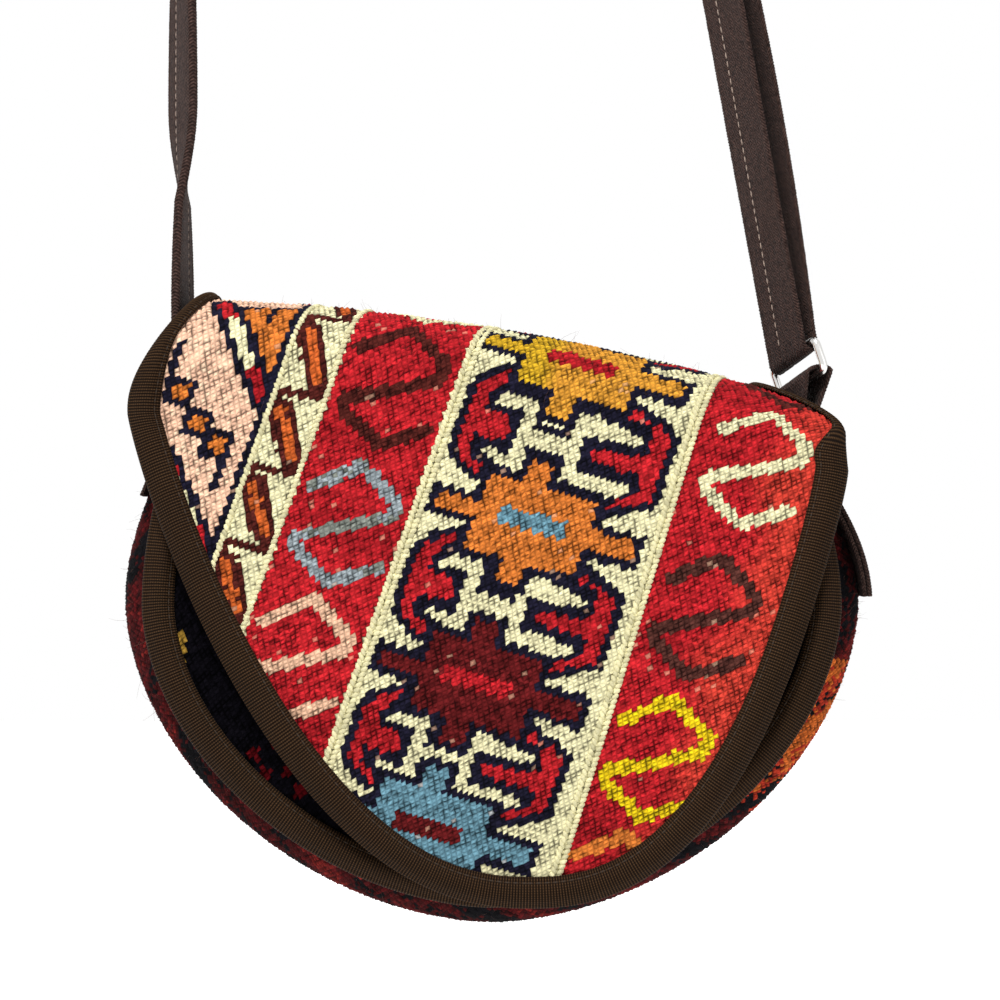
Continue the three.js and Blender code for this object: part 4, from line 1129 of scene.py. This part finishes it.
def flap_lining_places():
    turn = np.linspace(0.02, math.pi / 2, 60)
    low = SHOULDER_Z - (SHOULDER_Z - FLAP_TIP_Z) * np.cos(turn) ** (2 / FLAP_TAPER)
    rows = np.concatenate([low, np.linspace(SHOULDER_Z, mix(arch_z, back_start, 0.78), 50)[1:]])
    sides = [flap_middle(rows) + side * (flap_half(rows, np.full_like(rows, side)) - 1.5) for side in (-1, 1)]
    x = mix(sides[0][:, None], sides[1][:, None], np.linspace(0, 1, 41)[None, :])
    s = np.repeat(rows[:, None], 41, 1)
    return lift_flap(x, s, np.full_like(x, -KILIM / 2 - TAPE_SLACK - LINING / 2))


flap_lining = strip("flap_lining_cloth", flap_lining_places(), (0.3, 0.3), COTTON, joined=False)
thicken(flap_lining, COTTON_THICK)


def pouch_places():
    inset = GUSSET_INSET + KILIM / 2 + 2 * TAPE_SLACK
    floor = panel_bottom + inset
    turn = np.linspace(0.05, math.pi / 2, 40)
    low = WIDEST_Z - (WIDEST_Z - floor) * np.cos(turn) ** (2 / PANEL_TAPER)
    z = np.concatenate([low, np.linspace(WIDEST_Z, MOUTH_Z - TAPE, 24)[1:]])
    around = np.linspace(0, 2 * math.pi, 97)
    round_low = round_half(PANEL_WIDTH / 2 - inset, z, floor, WIDEST_Z, PANEL_ROUNDNESS, PANEL_TAPER)
    half = np.where(z < WIDEST_Z, round_low, panel_half(z) - inset)[:, None] - LINING / 2
    z = z[:, None] + 0 * around
    x = half * np.sign(np.cos(around)) * np.abs(np.cos(around)) ** 0.5
    back = np.sin(around) > 0
    seam = np.where(back, back_seam, front_seam)
    puff = np.where(back, BACK_PUFF, FRONT_PUFF) * puff_at(x, z)
    reach = depth_at(z) / 2 - seam - SEAT_GAP + puff - LINING / 2
    places = hang(x, reach * np.sign(np.sin(around)) * np.abs(np.sin(around)) ** 0.5, z)
    places[:, -1] = places[:, 0]
    return places


lining_pouch = strip("lining_pouch_cloth", pouch_places(), (0.25, 0.6), COTTON, caps="low")
thicken(lining_pouch, COTTON_THICK)


# Webbing

def web_section():
    """Ring of (across, height) round the webbing, with a groove at its seam and beside each selvedge."""
    half = WEB_WIDTH / 2
    right = [(6, 1.0), (10.5, 0.97), (12.2, 0.84), (13.2, 1.0), (14.4, 0.9)]
    groove = [(WEB_SEAM - 0.9, 0.97), (WEB_SEAM, 0.78), (WEB_SEAM + 0.9, 0.97), (1, 1.0)]
    face = [(-c, h) for c, h in reversed(right)] + groove + right
    edge = [(half - 0.15, 0.5), (half, 0.0), (half - 0.15, -0.5)]
    top = [(c, h * WEB / 2) for c, h in face]
    bottom = [(c, -h) for c, h in reversed(top)]
    ring = top + edge + bottom + [(-c, -h) for c, h in edge]
    return np.array(ring + ring[:1])


def webbing(name, centres, across, plump=None):
    """Webbing with ribbed selvedges; plump is its thickness over that of one layer, row by row."""
    at, length = even(centres, WEB_STEP)
    plump = np.ones(len(at)) if plump is None else np.interp(at, np.arange(len(plump)), plump)
    centres, across = pick(centres, at), pick(across, at)
    tangent = np.gradient(centres, axis=0)
    face = unit(np.cross(tangent, across))
    section = web_section()
    rib = WEB_RIB * np.where(np.arange(len(at)) % 2, 1, -1)[:, None]
    rib = rib + WEB_RIB * np.random.default_rng(29).uniform(-0.6, 0.6, (len(at), 1))
    selvedge = np.clip((np.abs(section[:, 0]) - 12.6) / 2, 0, 1) * np.sign(section[:, 0])
    wide = section[None, :, 0] + 2 * rib * selvedge
    high = section[None, :, 1] * (plump[:, None] + rib)
    places = centres[:, None] + across[:, None] * wide[..., None] + face[:, None] * high[..., None]
    made = strip(name, places, (length * MM, girth(section)), WEBBING, caps="both")
    return made, centres, across, face * plump[:, None]


def web_stitching(name, laid, start, end):
    """Seam along the webbing from start to end mm off its two ends, seen on both its faces."""
    _, centres, across, face = laid
    picked = slice(round(start / WEB_STEP), -round(end / WEB_STEP), round(STITCH_PITCH / WEB_STEP))
    tangent = np.gradient(centres, axis=0)[picked]
    outs = [face[picked] * side for side in (1, -1)]
    spots = [centres[picked] + across[picked] * WEB_SEAM + out * 0.84 * WEB / 2 for out in outs]
    return stitches(name, np.concatenate(spots), np.tile(tangent, (2, 1)), np.concatenate(outs),
                    STITCH_LENGTH, WEB_THREAD, PALE_THREAD)


def fold_points(bar, facing, tip, face_radius, tip_radius, steps=24):
    turn = np.linspace(0, math.pi, steps)
    out = np.multiply.outer(face_radius * np.cos(turn), facing)
    return bar - out + np.multiply.outer(tip_radius * np.sin(turn), tip)


def left_across(rise):
    held = TWIST_LENGTH * TWIST_SHARE
    back = smooth((rise - held) / (crest[2] - left_top[2] - held))
    turn = np.where(rise < held, np.sin(rise / TWIST_LENGTH * 2 * math.pi), back - 1)
    angle = np.radians(np.where(turn > 0, TWIST_LOW, TWIST_HIGH)) * turn
    return vec(-np.sin(angle), -np.cos(angle), 0)


def repeat(direction, count):
    return np.tile(direction, (count, 1))


def strap_line():
    sewn = web_seat(np.linspace(STRAP_SEWN_Z, MOUTH_Z, 30), -1, 0)
    rise = np.linspace(left_top[2], crest[2], 160)[1:]
    run = vec(left_top[0], left_top[1], rise)
    share = np.linspace(0, 1, 90)[1:]
    over = crest_point(share)
    over_across = unit(mix(vec(0, -1, 0), run_across, smooth(2 * share - 1)[:, None]))
    start = float((over[-1] - run_point(0.0, 0.0)).dot(run_up))
    up = np.linspace(start, 0, 150)[1:-1]
    fold = fold_points(ring_bar, run_face, -ring_up, fold_radius, fold_radius)
    stub = run_point(np.array([STUB]), np.array([2 * fold_radius]))
    centres = np.concatenate([sewn, run, over, run_point(up, np.zeros_like(up)), fold, stub])
    across = np.concatenate([
        repeat([0.0, -1.0, 0.0], 30), left_across(rise - left_top[2]), over_across, run_across_at(up),
        repeat(bar_across, len(fold)), run_across_at(np.array([STUB]))])
    rising, falling = smooth((rise - left_top[2]) / 40), 1 - smooth(share * 1.2)
    plump = 1 + WEB_PLUMP * np.concatenate([np.zeros(30), rising, falling, np.zeros(len(up) + len(fold) + 1)])
    return centres, across, plump


bar_out = WEB / 2 + SEAT_GAP + WEB + SEAT_GAP + SLIDER_WIRE / 2
loop_radius = SLIDER_WIRE / 2 + SEAT_GAP + WEB / 2


def return_line():
    share = np.linspace(0, 1, 80)
    up = mix(STUB + SEAT_GAP, SLIDER_UP - END_LOOP_LENGTH - SEAT_GAP, share)
    out = mix(2 * fold_radius, bar_out + loop_radius, share) + RETURN_BOW * np.sin(math.pi * share)
    return run_point(up, out), run_across_at(up)


def tab_line():
    play = RING_SWING_PLAY + WEB / 2 + RING_WIRE / 2
    lower_bar = ring_bar - ring_up * RING_DROP
    legs = [web_seat(np.linspace(TAB_SEWN_Z, MOUTH_Z + KILIM, 30), 1, layer) for layer in (0, 1)]
    loop = fold_points(lower_bar, run_face, ring_up, play, fold_radius)
    level = repeat([0.0, -1.0, 0.0], 30)
    centres = np.concatenate([legs[0], loop, legs[1][::-1]])
    plump = np.concatenate([np.ones(30), np.full(len(loop), TAB_LOOP_PLUMP), np.ones(30)])
    return centres, np.concatenate([level, repeat(ring_across, len(loop)), level]), plump


slider_place = run_point(float(SLIDER_UP), 0.0)
slider_frame = np.stack([run_across, run_face, run_up])


def end_loop_line():
    bar = slider_place + run_face * bar_out
    fold = fold_points(bar, run_face, run_up, loop_radius, loop_radius)
    drop = np.linspace(END_LOOP_LENGTH, 0.5, 16)
    legs = [bar + run_face * out - np.multiply.outer(drop, run_up) for out in (-loop_radius, loop_radius)]
    centres = np.concatenate([legs[0], fold, legs[1][::-1]])
    return centres, repeat(run_across, len(centres))


strap = webbing("strap_webbing", *strap_line())
strap_return = webbing("strap_return_webbing", *return_line())
ring_tab = webbing("ring_tab_webbing", *tab_line())
end_loop = webbing("strap_end_loop_webbing", *end_loop_line())
strap_stitching = web_stitching("strap_stitching", strap, 40, 20)


# Ring and slider

def wire(name, path, side, diameter, closed, sides=18):
    """Round wire along a path; side is the direction square to the whole path."""
    path = np.asarray(path, float)
    if closed:
        before, after = np.roll(path, 1, 0), np.roll(path, -1, 0)
    else:
        before, after = path[[0, *range(len(path) - 1)]], path[[*range(1, len(path)), len(path) - 1]]
    out = unit(np.cross(after - before, side))
    turn = np.linspace(0, 2 * math.pi, sides + 1)
    places = (path[:, None] + out[:, None] * (diameter / 2 * np.cos(turn))[None, :, None]
              + side[None, None] * (diameter / 2 * np.sin(turn))[None, :, None])
    places[:, -1] = places[:, 0]
    if closed:
        places = np.concatenate([places, places[:1]])
    return strip(name, places, (0.1, 0.01), NICKEL, caps=None if closed else "both")


def rounded_loop(half_x, half_z, radius, steps=10):
    turns = [(quarter + np.linspace(0, 1, steps)) * math.pi / 2 for quarter in range(4)]
    corners = ((1, 1), (-1, 1), (-1, -1), (1, -1))
    return np.concatenate([
        vec(a * (half_x - radius) + radius * np.cos(turn), 0, b * (half_z - radius) + radius * np.sin(turn))
        for (a, b), turn in zip(corners, turns)])


ring_frame = np.stack([ring_across, run_face, ring_up])
ring_half = WEB_WIDTH / 2 * np.linalg.norm(bar_across) + RING_SIDE_PLAY + RING_WIRE / 2
ring_loop = rounded_loop(ring_half, RING_DROP / 2, RING_CORNER)
ring_path = ring_bar - ring_up * RING_DROP / 2 + ring_loop @ ring_frame
ring = wire("ring_wire", ring_path, run_face, RING_WIRE, True)

slider_half = WEB_WIDTH / 2 + SLIDER_SIDE_PLAY + SLIDER_WIRE / 2
frame_out = -(WEB / 2 + SEAT_GAP + SLIDER_WIRE / 2)
slider_loop = rounded_loop(slider_half, SLIDER_HEIGHT / 2, SLIDER_CORNER) + vec(0, frame_out, 0)
slider = wire("slider_loop", slider_place + slider_loop @ slider_frame, run_face, SLIDER_WIRE, True)
bend = np.linspace(0, math.pi / 2, 9)
bridge_right = vec(slider_half - SLIDER_WIRE * (1 - np.cos(bend)),
                   bar_out - SLIDER_WIRE * (1 - np.sin(bend)), 0)
bridge = np.concatenate([vec([slider_half], [frame_out], 0), bridge_right])
bridge = np.concatenate([bridge * (-1, 1, 1), bridge[::-1]])
slider_bar = wire("slider_bar", slider_place + bridge @ slider_frame, run_up, SLIDER_WIRE, False)


# What each piece stands for and rides on

def dress(made, node, body="bag"):
    if node:
        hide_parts(node)
    if body:
        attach(made, body)


dress(flap, "flap_and_back")
dress(flap_chains, None)
dress(flap_fuzz, None)
dress(flap_lining, "flap_lining")
dress(flap_tape, "flap_binding")
dress(flap_stitching, None)
dress(front, "front_panel")
dress(front_tape, "front_binding")
dress(front_stitching, None)
dress(mouth_tape, "mouth_binding")
dress(mouth_stitching, None)
dress(gusset, "gusset")
dress(gusset_fuzz, None)
dress(lining_pouch, "lining_pouch")
dress(strap[0], "strap")
dress(strap_stitching, None)
dress(ring_tab[0], "ring_tab")
dress(strap_return[0], "strap_return", None)
return_low, return_high = (Vector(placed(strap_return[1][end])) for end in (0, -1))
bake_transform(strap_return[0])
dress(end_loop[0], "strap_end_loop", "slider")
dress(ring, "ring", "ring")
dress(slider, "slider", "slider")
dress(slider_bar, None, "slider")


# Floor, light and camera

FLOOR_PLACE, FLOOR_SIZE, SHADOW_NEAR, SHADOW_FAR = (0.04, 0.0, -0.95), 4.0, 0.35, 1.15
GATHERED_LIGHT = 0.27


def floor():
    bm = bmesh.new()
    bmesh.ops.create_grid(bm, x_segments=1, y_segments=1, size=FLOOR_SIZE)
    bmesh.ops.translate(bm, verts=bm.verts, vec=FLOOR_PLACE)
    ground = finish_of("pale_floor", roughness=0.9, emission_strength=1.0)
    away = ground.node("VectorMath", {"operation": "DISTANCE"}, {0: ground.spot(), 1: FLOOR_PLACE}, 1)
    far = ground.node("MapRange", {"interpolation_type": "SMOOTHSTEP"},
                      {"Value": away, "From Min": SHADOW_NEAR, "From Max": SHADOW_FAR})
    glow = 0.42 + far * ground.seen() * 0.6
    ground.put(ground.shader.inputs["Emission Color"], ground.grey(glow))
    ground.colour(ground.blend(ground.noise(3.0), (0.95, 0.95, 0.94), (0.97, 0.97, 0.96)))
    made = piece("floor", bm, ground.owner)


def lamp(name, place, aim, size, power):
    light = bpy.data.lights.new(name, "AREA")
    light.size, light.energy = size, power
    made = bpy.data.objects.new(name, light)
    made.location = place
    made.rotation_euler = (Vector(aim) - Vector(place)).to_track_quat("-Z", "Y").to_euler()
    bpy.context.scene.collection.objects.link(made)


def studio():
    """White where it is seen, and dimmer as a light."""
    sky = Finish(bpy.data.worlds.new("studio"), "Background")
    level = GATHERED_LIGHT + sky.seen() * (1 - GATHERED_LIGHT)
    sky.put(sky.shader.inputs["Color"], sky.grey(level))
    bpy.context.scene.world = sky.owner


floor()
studio()
TARGET, EYE = (0.0375, -0.03, -0.508), (0.0375, -1.145, -0.508)
lamp("key", (-0.4, -1.1, 1.2), TARGET, 0.8, 47)
lamp("fill", (1.3, -1.3, 0.0), TARGET, 1.4, 4)
camera = bpy.data.cameras.new("camera")
camera.lens, camera.sensor_width = 93.0, 36.0
eye = bpy.data.objects.new("camera", camera)
eye.location = EYE
eye.rotation_euler = (math.pi / 2, 0, 0)
bpy.context.scene.collection.objects.link(eye)
bpy.context.scene.camera = eye
bpy.context.scene.view_settings.view_transform = "Standard"
